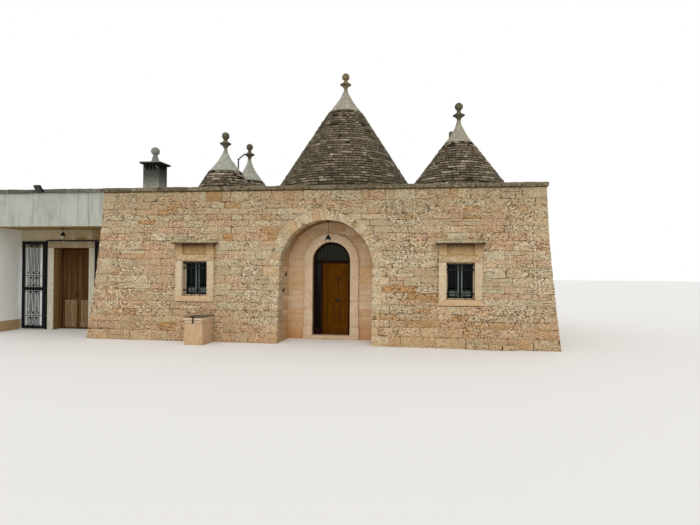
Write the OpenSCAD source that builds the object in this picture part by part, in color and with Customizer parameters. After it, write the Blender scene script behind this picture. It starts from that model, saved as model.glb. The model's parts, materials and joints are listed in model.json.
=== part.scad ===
// Trullo house: a stone block with a deep arched entrance niche, four stepped
// stone cones with mortared caps, a chimney, and a plastered porch wing beside it.
// X runs along the front, Y goes back into the house, Z is up, all in millimetres.

/* [Stone block] */
// Distance from the niche's centre to the block's left edge at the wall top
block_left = 6484; // [5600:10:7200]
// Distance from the niche's centre to the block's right edge at the wall top
block_right = 5687; // [5400:10:6600]
// Depth of the block at the wall top, front to back
block_depth = 7200; // [7000:50:8600]
// Height of the walls up to the underside of the coping
wall_top = 4150; // [4100:10:4600]
// How far the foot of each outer face stands out from its top
base_batter = 297; // [200:1:330]
// Thickness of the front wall at its top
front_wall_t = 1300; // [1250:10:1450]
// Thickness of the side walls at their top
side_wall_t = 850; // [600:10:1000]
// Thickness of the back wall at its top
back_wall_t = 850; // [600:10:1000]
// Thickness of the parapet round the terrace
parapet_t = 450; // [350:10:520]
// Height of the terrace above the ground
terrace_z = 4050; // [4000:10:4090]
// Thickness of the terrace slab
terrace_t = 400; // [300:10:420]
// Height of the finished floor inside
floor_z = 100; // [60:1:110]

/* [Coping] */
// Thickness of the coping slabs
coping_t = 108; // [80:1:140]
// How far the coping stands out past the wall
coping_out = 60; // [30:1:100]
// Open joint between coping slabs that meet at a corner
coping_joint = 3; // [2:1:8]

/* [Entrance niche] */
// Half width of the niche, and the radius of its barrel arch
niche_r = 1268; // [1150:1:1300]
// Height at which the niche's arch springs
niche_spring = 2065; // [1950:1:2150]
// Depth of the niche from the wall's top plane
niche_depth = 865; // [700:1:900]
// Width of the ring of arch stones
niche_ring = 350; // [250:1:450]

/* [Doorway] */
// Half width of the doorway, and the radius of its arch
door_r = 542; // [500:1:600]
// Height at which the doorway's arch springs
door_spring = 2226; // [2150:1:2280]
// Height of the threshold's top
threshold_z = 114; // [112:1:150]
// Width of the cut stone band round the doorway
surround_w = 240; // [180:1:280]
// How far that band stands out of the wall
surround_out = 65; // [40:1:90]
// Thickness of the door's frame, seen from the front
door_frame_w = 60; // [45:1:75]
// Depth of the door's frame, front to back
door_frame_t = 80; // [70:1:95]
// Distance from the wall's face back to the door's frame
door_set_back = 90; // [60:1:150]
// Clear width of the dark strip beside the door
sidelight_w = 147; // [120:1:170]
// Width of the post between strip and door
mullion_w = 55; // [45:1:70]
// Height of the rail between door and fanlight
transom_h = 70; // [55:1:80]
// Thickness of the door's leaf
leaf_t = 46; // [40:1:50]
// Clearance between a door's leaf and its frame
leaf_gap = 5; // [5:1:8]

/* [Windows] */
// Distance from the niche's centre to the left window's centre
window_left_x = 3640; // [3300:10:3900]
// Distance from the niche's centre to the right window's centre
window_right_x = 3540; // [3300:10:3900]
// Clear width of each window
window_w = 717; // [650:1:760]
// Height of the window's sill
window_sill_z = 1235; // [1150:1:1300]
// Height of the window's head
window_head_z = 2194; // [2100:1:2250]
// Width of the jamb stones beside the window
window_jamb = 190; // [150:1:220]
// Height of the sill stone
window_sill_h = 155; // [120:1:180]
// Height of the plain lintel over the opening
window_lintel_h = 180; // [140:1:200]
// Height of the corbels and of the frieze between them
window_frieze_h = 290; // [240:1:300]
// How far the surround stands in front of the wall's top plane
window_out = 215; // [200:1:240]
// Depth of the surround behind the wall's top plane
window_in = 120; // [90:1:160]
// Width of the corbels under the hood's ends
corbel_w = 200; // [160:1:230]
// How far the frieze lies back between the corbels
frieze_back = 45; // [20:1:60]
// Thickness of the hood slab
hood_t = 88; // [70:1:110]
// How far the hood stands out past the surround, at the ends and in front
hood_out = 90; // [60:1:120]
// How far the hood stands out past the corbels' heads
hood_nose = 15; // [10:1:30]
// Width of the window's wooden frame
sash_w = 45; // [35:1:55]
// Thickness of the window's wooden frame
sash_t = 48; // [40:1:55]
// Depth of the sash behind the surround's front
sash_back = 225; // [200:1:240]
// Thickness of the window bars
grille_bar = 16; // [12:1:20]

/* [Cones] */
// Height of the upright drum under each cone
drum_h = 550; // [400:10:650]
// Height of one course of cone stones
course_h = 86; // [70:1:120]
// How far each course stands out past the one above, before the slope
course_lip = 14; // [8:1:20]
// Wall thickness of a cone at its foot
cone_wall = 420; // [340:10:440]
// Wall thickness of a cone under its cap
cone_wall_top = 300; // [260:10:330]
// Gap between the drums of the big cone and the right cone
cone_gap = 62; // [60:1:150]
// Big cone: distance behind the front
main_y = 3500; // [3300:10:3700]
// Big cone: radius of its drum
main_r = 2218; // [2000:1:2240]
// Big cone: height of its cap's foot
main_top = 7190; // [6900:10:7400]
// Big cone: radius of its cap's foot
main_cap_r = 568; // [520:1:620]
// Big cone: height of its cap
main_cap_h = 835; // [700:5:900]
// Right cone: distance to the right of the niche's centre
right_x = 3670; // [3650:10:3750]
// Right cone: distance behind the front
right_y = 3000; // [2800:10:3300]
// Right cone: radius of its drum
right_r = 1458; // [1300:1:1460]
// Right cone: height of its cap's foot
right_top = 5970; // [5800:10:6200]
// Right cone: radius of its cap's foot
right_cap_r = 447; // [430:1:520]
// Right cone: height of its cap
right_cap_h = 740; // [650:10:850]
// Left front cone: distance to the left of the niche's centre
left_x = 3880; // [3800:10:4000]
// Left front cone: distance behind the front
left_y = 2600; // [2300:10:2650]
// Left front cone: radius of its drum
left_r = 850; // [820:1:950]
// Left front cone: height of its cap's foot
left_top = 5140; // [5050:10:5300]
// Left front cone: radius of its cap's foot
left_cap_r = 530; // [500:1:560]
// Left front cone: height of its cap
left_cap_h = 790; // [700:10:900]
// Left rear cone: distance to the left of the niche's centre
rear_x = 3950; // [3850:10:4050]
// Left rear cone: distance behind the front
rear_y = 5200; // [5150:10:5400]
// Left rear cone: radius of its drum
rear_r = 960; // [850:1:980]
// Left rear cone: height of its cap's foot
rear_top = 5260; // [5150:10:5400]
// Left rear cone: radius of its cap's foot
rear_cap_r = 520; // [500:1:580]
// Left rear cone: height of its cap
rear_cap_h = 850; // [750:10:950]
// Radius of the neck where a cap meets its finial
neck_r = 60; // [50:1:75]
// Radius of a finial's disc
disc_r = 190; // [160:1:220]
// Radius of a finial's ball
ball_r = 128; // [105:1:150]
// Height of the big cone's finial, from its neck to the middle of its ball
main_finial_h = 420; // [400:5:520]
// Height of the right cone's finial, from its neck to the middle of its ball
right_finial_h = 450; // [400:5:520]
// Height of the left front cone's finial, from its neck to the middle of its ball
left_finial_h = 410; // [400:5:520]
// Height of the left rear cone's finial, from its neck to the middle of its ball
rear_finial_h = 460; // [400:5:520]

/* [Chimney] */
// Gap between the chimney and the parapet at its left
chimney_clear = 314; // [100:1:400]
// Distance of the chimney's middle behind the front
chimney_y = 1000; // [900:10:1300]
// Width of the chimney's shaft
chimney_w = 500; // [450:10:600]
// Thickness of the chimney's walls
chimney_t = 100; // [80:5:150]
// Height of the chimney's shaft above the terrace
chimney_h = 1050; // [900:10:1300]
// How far the chimney's cap stands out
chimney_lip = 80; // [30:1:100]
// Thickness of the chimney's cap slab
chimney_cap_t = 58; // [50:1:110]

/* [Porch wing] */
// Distance from the middle of the wing's doorway to the inner face of the porch's left wall
porch_side = 1770; // [1750:10:2100]
// Thickness of the wing's walls
wing_wall_t = 250; // [200:10:350]
// Depth of the porch, from the front to its back wall
porch_depth = 1400; // [1380:10:1600]
// Thickness of the wall behind the porch
porch_wall_t = 400; // [360:10:450]
// Height of the porch's ceiling
porch_ceiling = 3180; // [3100:10:3300]
// Thickness of the wing's roof slab
wing_roof_t = 300; // [200:10:350]
// Thickness of the beam over the porch's front
beam_t = 300; // [200:10:350]
// Depth of the whole wing, front to back
wing_depth = 4800; // [4500:50:5600]
// Height of the wing's floor
wing_floor_z = 50; // [30:1:60]
// Distance from the stone block's left edge to the middle of the wing's doorway
wing_door_away = 1996; // [1980:1:2060]
// Clear width of the wing's doorway
wing_door_w = 1220; // [1100:10:1240]
// Height of the wing's doorway
wing_door_h = 2610; // [2400:10:2650]
// Width of the stone band round the wing's doorway
wing_band_w = 210; // [180:5:215]
// How far that band stands out of the wall
wing_band_out = 35; // [20:1:40]
// Thickness of the wing door's frame and leaves
wing_leaf_t = 42; // [36:1:48]

/* [Iron gate] */
// Thickness of the gate's posts and head bar, seen from the front
gate_post = 42; // [35:1:50]
// Width of the gate's stiles, seen from the front
gate_stile = 100; // [80:1:120]
// Height of the gate's rails, seen from the front
gate_rail = 96; // [70:1:110]
// Thickness of a gate leaf, front to back
gate_t = 24; // [20:1:28]
// Clearance between the gate's leaves and its posts
gate_gap = 12; // [8:1:15]
// Thickness of the gate's upright bars
gate_bar = 16; // [12:1:18]
// How far the gate's leaves end below the top of the stone band round the doorway
gate_drop = 10; // [0:5:60]
// Distance from the ground up to the gate leaves
gate_foot = 30; // [30:1:60]
// How far the right leaf stands away from the wall when it is folded back
gate_right_rest = 30; // [27:1:34]

/* [Cistern and small pieces] */
// Distance from the niche's centre to the cistern's right side, to the left
cistern_x = 3060; // [2900:10:3200]
// Width of the cistern
cistern_w = 490; // [420:10:600]
// Distance of the cistern's front before the wall's top plane
cistern_out = 960; // [850:10:980]
// Height of the cistern under its lid
cistern_h = 640; // [560:10:700]
// Thickness of the cistern's lid
cistern_lid_t = 80; // [60:1:100]
// How far the lid stands out
cistern_lip = 30; // [15:1:40]
// Length of the low footing course at the right
footing_l = 1200; // [900:10:1500]
// Height of that footing course
footing_h = 150; // [100:5:200]
// Radius of the bent iron pipe on the terrace
pipe_r = 24; // [18:1:30]

/* [Hidden] */
$fn = 64;

// Courses of the battered profile, and the power that makes its foot flare
batter_steps = 6;
batter_power = 1.45;
// A length that reaches past every wall, for cutting
far = 30000;
// The smallest gap left between pieces that lie against each other but aren't joined
rest_gap = 0.3;
// The big cone's place, to the right of the niche's centre, beside the right cone
main_x = right_x - sqrt(pow(main_r + right_r + cone_gap, 2) - pow(main_y - right_y, 2));

// Places of the wing's doorway, the porch's left wall and the chimney, left of the niche's centre
wing_door_x = block_left + wing_door_away;
porch_left = wing_door_x + porch_side;
chimney_x = block_left - parapet_t - chimney_clear - chimney_w / 2;

// The model's own origin: the middle of the whole house's footprint at the ground
wing_outer = porch_left + wing_wall_t;
x_low = -wing_outer - coping_out;
x_high = block_right + base_batter;
y_low = -cistern_out - cistern_lip;
y_high = block_depth + base_batter;
origin_x = (x_low + x_high) / 2;
origin_y = (y_low + y_high) / 2;

// How far an outer face stands out at height z
function batter(z) = base_batter * pow(1 - min(max(z, 0), wall_top) / wall_top, batter_power);

// Outline of the block across one direction, from low to high, with both faces battered
function battered_outline(low, high) = concat(
    [for (i = [0 : batter_steps]) let (z = wall_top * i / batter_steps) [high + batter(z), z]],
    [for (i = [batter_steps : -1 : 0]) let (z = wall_top * i / batter_steps) [low - batter(z), z]]
);

module at_origin() {
    translate([-origin_x, -origin_y, 0])
        children();
}

// A box from its low corner to its high corner
module span(low, high) {
    translate(low)
        cube(high - low);
}

// An outline in X and Z, drawn out from y0 to y1
module run_back(y0, y1) {
    translate([0, y1, 0])
        rotate([90, 0, 0])
            linear_extrude(y1 - y0)
                children();
}

// The whole outside of the stone block
module block_envelope() {
    intersection() {
        translate([-far, 0, 0])
            rotate([90, 0, 90])
                linear_extrude(2 * far)
                    polygon(battered_outline(0, block_depth));
        run_back(-far, far)
            polygon(battered_outline(-block_left, block_right));
    }
}

// The shallow well that holds the terrace slab, inside the parapet
terrace_low = terrace_z - terrace_t;
module terrace_well() {
    span([-block_left + parapet_t, parapet_t, terrace_low],
         [block_right - parapet_t, block_depth - parapet_t, wall_top + coping_t]);
}

// A part of the block's masonry between two corners, without the terrace's well
module masonry(low, high) {
    difference() {
        intersection() {
            block_envelope();
            span(low, high);
        }
        terrace_well();
    }
}

// Round headed outline: half width r, straight up to the spring, then a half circle
module arch_outline(r, spring, foot) {
    translate([-r, foot])
        square([2 * r, spring - foot]);
    translate([0, spring])
        circle(r);
}

// The window at centre x: its stones, and the holes that take them
surround_half = window_w / 2 + window_jamb;
surround_foot = window_sill_z - window_sill_h;
frieze_foot = window_head_z + window_lintel_h;
hood_foot = window_head_z + window_frieze_h + window_lintel_h;
hood_half = surround_half + hood_out;

module window_hole(x) {
    span([x - window_w / 2, -far, window_sill_z], [x + window_w / 2, front_wall_t, window_head_z]);
    span([x - surround_half, -far, surround_foot], [x + surround_half, window_in, hood_foot]);
    span([x - hood_half, -far, hood_foot], [x + hood_half, window_in, hood_foot + hood_t]);
}

module front_wall_left() {
    color("burlywood")
        difference() {
            masonry([-far, -far, 0], [-niche_r, front_wall_t, wall_top]);
            span([-niche_r - niche_ring, -far, niche_spring], [0, niche_depth, wall_top]);
            window_hole(-window_left_x);
        }
}

module front_wall_right() {
    color("burlywood")
        difference() {
            masonry([niche_r, -far, 0], [far, front_wall_t, wall_top]);
            span([0, -far, niche_spring], [niche_r + niche_ring, niche_depth, wall_top]);
            window_hole(window_right_x);
        }
}

// The wall over the niche, with the underside of its barrel arch
module niche_arch_wall() {
    color("burlywood")
        difference() {
            masonry([-niche_r - niche_ring, -far, niche_spring],
                    [niche_r + niche_ring, niche_depth, wall_top]);
            run_back(-far, niche_depth)
                translate([0, niche_spring])
                    circle(niche_r);
        }
}

module door_wall_left() {
    color("burlywood")
        masonry([-niche_r, niche_depth, 0], [-door_r, front_wall_t, door_spring]);
}

module door_wall_right() {
    color("burlywood")
        masonry([door_r, niche_depth, 0], [niche_r, front_wall_t, door_spring]);
}

module door_wall_arch() {
    color("burlywood")
        difference() {
            masonry([-niche_r, niche_depth, door_spring], [niche_r, front_wall_t, wall_top]);
            run_back(0, front_wall_t)
                translate([0, door_spring])
                    circle(door_r);
        }
}

room_back = block_depth - back_wall_t;
room_left = -block_left + side_wall_t;
room_right = block_right - side_wall_t;

module left_wall() {
    color("burlywood")
        masonry([-far, front_wall_t, 0], [room_left, room_back, wall_top]);
}

module right_wall() {
    color("burlywood")
        masonry([room_right, front_wall_t, 0], [far, room_back, wall_top]);
}

module back_wall() {
    color("burlywood")
        masonry([-far, room_back, 0], [far, far, wall_top]);
}

// What is built against the block, cut to the block's battered face
module clear_of_block() {
    difference() {
        children();
        block_envelope();
    }
}

wing_room_front = porch_depth + porch_wall_t;
wing_room_back = wing_depth - wing_wall_t;

module floors() {
    color("gainsboro") {
        span([room_left, front_wall_t, 0], [room_right, room_back, floor_z]);
        clear_of_block()
            span([-porch_left, wing_room_front, 0], [-block_left + side_wall_t, wing_room_back, wing_floor_z]);
    }
}

// The terrace: three slabs that meet midway between the cones
split_left = (main_x - main_r - left_x + rear_r) / 2;
split_right = (main_x + main_r + right_x - right_r) / 2;

module terrace_slab(from_x, to_x) {
    span([from_x, parapet_t, terrace_low], [to_x, block_depth - parapet_t, terrace_z]);
}

module dome_hole(x, y, drum_r) {
    translate([x, y, terrace_low])
        cylinder(r = drum_r - cone_wall, h = terrace_t);
}

module terrace_left() {
    color("lightgray")
        difference() {
            terrace_slab(-block_left + parapet_t, split_left);
            dome_hole(-left_x, left_y, left_r);
            dome_hole(-rear_x, rear_y, rear_r);
        }
}

module terrace_middle() {
    color("lightgray")
        difference() {
            terrace_slab(split_left, split_right);
            dome_hole(main_x, main_y, main_r);
        }
}

module terrace_right() {
    color("lightgray")
        difference() {
            terrace_slab(split_right, block_right - parapet_t);
            dome_hole(right_x, right_y, right_r);
        }
}

// Coping: straight slabs along every wall top, with an open joint where they meet
coping_in = parapet_t + coping_out / 2;
wing_coping_in = wing_wall_t + coping_out;

module coping_run(low, high) {
    span([low[0], low[1], wall_top], [high[0], high[1], wall_top + coping_t]);
}

module copings() {
    side_from = coping_in + coping_joint;
    side_to = block_depth - coping_in - coping_joint;
    color("darkgray") {
        coping_run([x_low, -coping_out], [block_right + coping_out, coping_in]);
        coping_run([-block_left - coping_out, block_depth - coping_in],
                   [block_right + coping_out, block_depth + coping_out]);
        coping_run([block_right - coping_in, side_from], [block_right + coping_out, side_to]);
        coping_run([-block_left - coping_out, side_from], [-block_left + coping_in, side_to]);
        coping_run([x_low, side_from], [-wing_outer + wing_coping_in, wing_depth + coping_out]);
        coping_run([-wing_outer + wing_coping_in + coping_joint, wing_depth - wing_coping_in],
                   [-block_left - coping_out - coping_joint, wing_depth + coping_out]);
    }
}

// A dry stone cone: an upright drum, then courses that step in to the cap.
// Each course has a sloped face, and stands out a little past the one above.
// Inside, the corbelled hollow follows the same slope and closes in a small eye.
function slope_r(drum_r, cap_r, foot, top, z) =
    z <= foot ? drum_r : drum_r + (cap_r - drum_r) * (z - foot) / (top - foot);

module stone_cone(drum_r, cap_r, top) {
    foot = terrace_z + drum_h;
    courses = round((top - foot) / course_h);
    step = (top - foot) / courses;
    inner_steps = 8;
    eye_top = top - cone_wall_top;
    lean = (drum_r - cap_r) / courses;
    outside = [for (i = [0 : courses - 1], up = [0, 1])
        let (low_r = drum_r - lean * i)
        [up == 0 ? low_r : low_r - (lean - course_lip) * up, foot + step * (i + up)]];
    inside = [for (i = [inner_steps : -1 : 0])
        let (t = i / inner_steps,
             z = foot + (eye_top - foot) * t,
             wall = cone_wall + (cone_wall_top - cone_wall) * t)
        [max(slope_r(drum_r, cap_r, foot, top, z) - wall, course_h), z]];
    rotate_extrude()
        polygon(concat(
            [[drum_r, terrace_z]],
            outside,
            [[0, top], [0, eye_top]],
            inside,
            [[drum_r - cone_wall, terrace_z]]
        ));
}

module main_cone() {
    color("dimgray")
        translate([main_x, main_y, 0])
            stone_cone(main_r, main_cap_r, main_top);
}

module right_cone() {
    color("dimgray")
        translate([right_x, right_y, 0])
            stone_cone(right_r, right_cap_r, right_top);
}

module left_cone() {
    color("dimgray")
        translate([-left_x, left_y, 0])
            stone_cone(left_r, left_cap_r, left_top);
}

module rear_cone() {
    color("dimgray")
        translate([-rear_x, rear_y, 0])
            stone_cone(rear_r, rear_cap_r, rear_top);
}

// A mortared cap with hollow flanks, from the last course up to the finial's neck
module cap(x, y, cap_r, foot, height) {
    steps = 10;
    hollow = 1.45;
    flank = [for (i = [0 : steps])
        [neck_r + (cap_r - neck_r) * pow(1 - i / steps, hollow), foot + height * i / steps]];
    translate([x, y, 0])
        rotate_extrude()
            polygon(concat([[0, foot]], flank, [[0, foot + height]]));
}

module cone_caps() {
    color("silver") {
        cap(main_x, main_y, main_cap_r, main_top, main_cap_h);
        cap(right_x, right_y, right_cap_r, right_top, right_cap_h);
        cap(-left_x, left_y, left_cap_r, left_top, left_cap_h);
        cap(-rear_x, rear_y, rear_cap_r, rear_top, rear_cap_h);
    }
}

// A carved finial: a flared disc, a short collar and a ball
disc_at = 0.40;
module finial(x, y, foot, height) {
    collar_r = neck_r * 1.05;
    rim_z = height * disc_at;
    rim_t = height * 0.06;
    collar_z = height * 0.58;
    translate([x, y, foot]) {
        rotate_extrude()
            polygon([
                [0, 0], [neck_r, 0], [disc_r, rim_z - rim_t], [disc_r, rim_z],
                [collar_r * 1.4, collar_z], [collar_r, collar_z + rim_t],
                [collar_r, height], [0, height]
            ]);
        translate([0, 0, height])
            sphere(ball_r);
    }
}

module finials() {
    color("gray") {
        finial(main_x, main_y, main_top + main_cap_h, main_finial_h);
        finial(right_x, right_y, right_top + right_cap_h, right_finial_h);
        finial(-left_x, left_y, left_top + left_cap_h, left_finial_h);
        finial(-rear_x, rear_y, rear_top + rear_cap_h, rear_finial_h);
    }
}

// The chimney: a square shaft with three smoke slots in each face, and a capped top with a ball
chimney_top = terrace_z + chimney_h;
slot_h = 130;
slot_drop = 180;

module chimney_shaft() {
    half = chimney_w / 2;
    inner = half - chimney_t;
    slot_w = inner * 0.4;
    slot_pitch = inner * 0.75;
    color("gray")
        translate([-chimney_x, chimney_y, 0])
            difference() {
                span([-half, -half, terrace_z], [half, half, chimney_top]);
                span([-inner, -inner, terrace_z], [inner, inner, chimney_top]);
                for (turn = [0, 90], place = [-1, 0, 1])
                    rotate([0, 0, turn])
                        translate([place * slot_pitch - slot_w / 2, -chimney_w, chimney_top - slot_drop])
                            cube([slot_w, 2 * chimney_w, slot_h]);
            }
}

module chimney_cap() {
    half = chimney_w / 2 + chimney_lip;
    neck_z = chimney_top + chimney_cap_t;
    cone_h = 257;
    cone_r = 150;
    color("gray")
        translate([-chimney_x, chimney_y, 0]) {
            span([-half, -half, chimney_top], [half, half, neck_z]);
            translate([0, 0, neck_z])
                cylinder(r1 = cone_r, r2 = neck_r, h = cone_h);
            translate([0, 0, neck_z + cone_h + ball_r * 0.8])
                sphere(ball_r);
        }
}

// A bent iron pipe between the left cones, leaning on the rear finial's disc
pipe_side = 55;
pipe_x = -rear_x + pipe_side;
pipe_y = 3850;
pipe_elbow_z = 5830;
// Direction from the finial's middle to the point that the pipe touches
pipe_lean = [-0.62, -0.785];

module roof_pipe() {
    rim_x = -rear_x + (disc_r + pipe_r) * pipe_lean[0];
    rim_y = rear_y + (disc_r + pipe_r) * pipe_lean[1];
    rim_z = rear_top + rear_cap_h + rear_finial_h * (disc_at - 0.03);
    reach = [rim_x - pipe_x, rim_y - pipe_y, rim_z - pipe_elbow_z];
    length = norm(reach);
    color("dimgray") {
        translate([pipe_x, pipe_y, terrace_z])
            cylinder(r = pipe_r, h = pipe_elbow_z - terrace_z);
        translate([pipe_x, pipe_y, pipe_elbow_z]) {
            sphere(pipe_r * 1.3);
            rotate([0, acos(reach[2] / length), atan2(reach[1], reach[0])])
                cylinder(r = pipe_r, h = length);
        }
    }
}

// A corbel's head: flush with the jamb at its foot, and curved forward under the hood
corbel_out = hood_out - hood_nose;
module corbel_head(from_x) {
    steps = 8;
    curve = [for (i = [0 : steps])
        let (rise = i / steps)
        [-window_out - corbel_out * (1 - sqrt(1 - rise * rise)), frieze_foot + window_frieze_h * rise]];
    translate([from_x, 0, 0])
        rotate([90, 0, 90])
            linear_extrude(corbel_w)
                polygon(concat(
                    curve,
                    [[-window_out + frieze_back, hood_foot], [-window_out + frieze_back, frieze_foot]]
                ));
}

// Window stones: sill, jambs, lintel, and a frieze set back between two corbels
module window_surround(x) {
    front = -window_out;
    frieze_half = surround_half - corbel_w;
    union() {
        difference() {
            span([x - surround_half, front, surround_foot], [x + surround_half, window_in, hood_foot]);
            span([x - window_w / 2, -far, window_sill_z], [x + window_w / 2, far, window_head_z]);
            span([x - frieze_half, -far, frieze_foot], [x + frieze_half, front + frieze_back, hood_foot]);
        }
        corbel_head(x - surround_half);
        corbel_head(x + frieze_half);
    }
}

module window_surrounds() {
    color("wheat") {
        window_surround(-window_left_x);
        window_surround(window_right_x);
    }
}

module window_hood(x) {
    span([x - hood_half, -window_out - hood_out, hood_foot],
         [x + hood_half, window_in, hood_foot + hood_t]);
}

module window_hoods() {
    color("darkgray") {
        window_hood(-window_left_x);
        window_hood(window_right_x);
    }
}

// Two casements in one frame, with a wooden panel at the foot of each
sash_front = -window_out + sash_back;
panel_h = 260;
// Width of one pane, between the frame and the two stiles that meet in the middle
pane_w = window_w / 2 - sash_w * 1.75;

module window_sash(x) {
    half = window_w / 2;
    difference() {
        span([x - half, sash_front, window_sill_z], [x + half, sash_front + sash_t, window_head_z]);
        for (left = [x - half + sash_w, x + half - sash_w - pane_w])
            translate([left, 0, 0]) {
                span([0, -far, window_sill_z + sash_w + panel_h], [pane_w, far, window_head_z - sash_w]);
                span([0, -far, window_sill_z + sash_w * 1.5],
                     [pane_w, sash_front + sash_t / 4, window_sill_z + panel_h]);
            }
    }
}

module window_sashes() {
    color("darkslategray") {
        window_sash(-window_left_x);
        window_sash(window_right_x);
    }
}

glass_t = 6;
module window_pane(x) {
    half = window_w / 2;
    mid = sash_front + sash_t / 2;
    for (left = [x - half + sash_w, x + half - sash_w - pane_w])
        span([left, mid - glass_t / 2, window_sill_z + sash_w + panel_h],
             [left + pane_w, mid + glass_t / 2, window_head_z - sash_w]);
}

module window_glass() {
    color("black") {
        window_pane(-window_left_x);
        window_pane(window_right_x);
    }
}

// Iron bars in each window: two uprights and three cross bars, let into the jambs.
// The cross bars' places are shares of the opening's height, from its head down.
grille_depth = 95;
grille_cross = [0.05, 0.19, 0.83];
module window_grille(x) {
    half = window_w / 2;
    y0 = -window_out + grille_depth;
    y1 = y0 + grille_bar;
    height = window_head_z - window_sill_z;
    for (share = grille_cross)
        span([x - half, y0, window_head_z - height * share - grille_bar],
             [x + half, y1, window_head_z - height * share]);
    for (side = [-1, 1])
        span([x + side * half / 3 - grille_bar / 2, y0, window_sill_z],
             [x + side * half / 3 + grille_bar / 2, y1, window_head_z]);
}

module window_grilles() {
    color("darkslategray") {
        window_grille(-window_left_x);
        window_grille(window_right_x);
    }
}

// Cut stones round the doorway: jambs on wider foot blocks, imposts, and the arch ring,
// with a thin moulding along the ring's outer edge that stands on the imposts
door_face = niche_depth - surround_out;
impost_h = 120;
foot_block_h = 250;
moulding_out = 22;
archivolt_w = 40;

module door_surround() {
    outer = door_r + surround_w;
    color("wheat")
        difference() {
            union() {
                run_back(door_face, niche_depth)
                    difference() {
                        arch_outline(outer, door_spring, threshold_z);
                        arch_outline(door_r, door_spring, threshold_z - 1);
                    }
                run_back(door_face - moulding_out, niche_depth)
                    intersection() {
                        translate([0, door_spring])
                            difference() {
                                circle(outer);
                                circle(outer - archivolt_w);
                            }
                        translate([-far, door_spring - moulding_out])
                            square(2 * far);
                    }
                for (side = [-1, 1]) {
                    impost_x = side > 0 ? door_r : -outer - moulding_out;
                    span([impost_x, door_face - moulding_out, door_spring - impost_h - moulding_out],
                         [impost_x + surround_w + moulding_out, niche_depth, door_spring - moulding_out]);
                    span([impost_x, door_face - moulding_out, threshold_z],
                         [impost_x + surround_w + moulding_out, niche_depth, threshold_z + foot_block_h]);
                }
            }
            run_back(0, far)
                arch_outline(door_r, door_spring, 0);
        }
}

module threshold() {
    outer = door_r + surround_w + moulding_out;
    color("wheat")
        union() {
            span([-outer, door_face - moulding_out * 2, 0], [outer, niche_depth, threshold_z]);
            span([-door_r, niche_depth, 0], [door_r, front_wall_t, threshold_z]);
        }
}

// The wooden frame in the doorway, with a post beside the dark strip and a rail over the door
frame_front = niche_depth + door_set_back;
frame_back = frame_front + door_frame_t;
frame_in = door_r - door_frame_w;
strip_right = -frame_in + sidelight_w;
leaf_left = strip_right + mullion_w + leaf_gap;
leaf_right = frame_in - leaf_gap;
transom_drop = 15;
transom_low = door_spring - transom_h / 2 - transom_drop;
transom_high = transom_low + transom_h;
leaf_foot = threshold_z + leaf_gap;
leaf_head = transom_low - leaf_gap;
leaf_front = frame_back - leaf_t;
strip_panel_h = 200;

// Knuckle hinges: the axis lies just behind the leaf's inner face, in the gap at the jamb
knuckle_r = 8;
knuckle_h = 50;
flap_w = 32;
flap_t = 3;
hinge_heights = [350, 1150, 1900];
front_axis_x = leaf_right + leaf_gap / 2;
front_axis_y = frame_back + knuckle_r;

// One knuckle on its flap. The flap lies on the face in front of the axis, to side -1 or 1
module knuckle(side, lift) {
    translate([0, 0, lift])
        cylinder(r = knuckle_r, h = knuckle_h);
    span([min(0, side * flap_w), -knuckle_r, lift],
         [max(0, side * flap_w), -knuckle_r + flap_t, lift + knuckle_h]);
}

module leaf_knuckles(side) {
    for (z = hinge_heights)
        knuckle(side, z + knuckle_h + rest_gap);
}

module frame_knuckles(side) {
    for (z = hinge_heights)
        knuckle(side, z);
}

module door_frame() {
    color("saddlebrown")
        union() {
            run_back(frame_front, frame_back)
                difference() {
                    arch_outline(door_r, door_spring, threshold_z);
                    arch_outline(frame_in, door_spring, threshold_z - 1);
                }
            span([-frame_in, frame_front, transom_low], [frame_in, frame_back, transom_high]);
            span([strip_right, frame_front, threshold_z],
                 [strip_right + mullion_w, frame_back, transom_low]);
            span([-frame_in, frame_front, threshold_z],
                 [strip_right, frame_back, threshold_z + strip_panel_h]);
            translate([front_axis_x, front_axis_y, 0])
                frame_knuckles(1);
        }
}

// Glass in the fanlight and in the strip beside the door
module door_glass() {
    mid = (frame_front + frame_back) / 2;
    color("darkgreen") {
        run_back(mid - glass_t / 2, mid + glass_t / 2)
            intersection() {
                translate([0, door_spring])
                    circle(frame_in);
                translate([-far / 2, transom_high])
                    square(far);
            }
        span([-frame_in, mid - glass_t / 2, threshold_z + strip_panel_h],
             [strip_right, mid + glass_t / 2, transom_low]);
    }
}

// The door's leaf: a wide lock stile with upright grooves, and two sunk panels
panel_sink = 10;
lock_stile = 165;
hinge_stile = 55;
rail_h = 120;
mid_rail_z = 1130;

module front_door() {
    panel_left = leaf_left + lock_stile;
    panel_right = leaf_right - hinge_stile;
    groove_w = 12;
    color("saddlebrown") {
        difference() {
            span([leaf_left, leaf_front, leaf_foot], [leaf_right, frame_back, leaf_head]);
            span([panel_left, -far, mid_rail_z + rail_h / 4],
                 [panel_right, leaf_front + panel_sink, leaf_head - rail_h]);
            span([panel_left, -far, leaf_foot + rail_h * 2],
                 [panel_right, leaf_front + panel_sink, mid_rail_z - rail_h / 4]);
            for (share = [0.25, 0.5, 0.75])
                span([leaf_left + lock_stile * share - groove_w / 2, -far, leaf_foot + rail_h],
                     [leaf_left + lock_stile * share + groove_w / 2, leaf_front + panel_sink / 2,
                      leaf_head - rail_h]);
        }
        translate([front_axis_x, front_axis_y, 0])
            leaf_knuckles(-1);
    }
}

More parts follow.
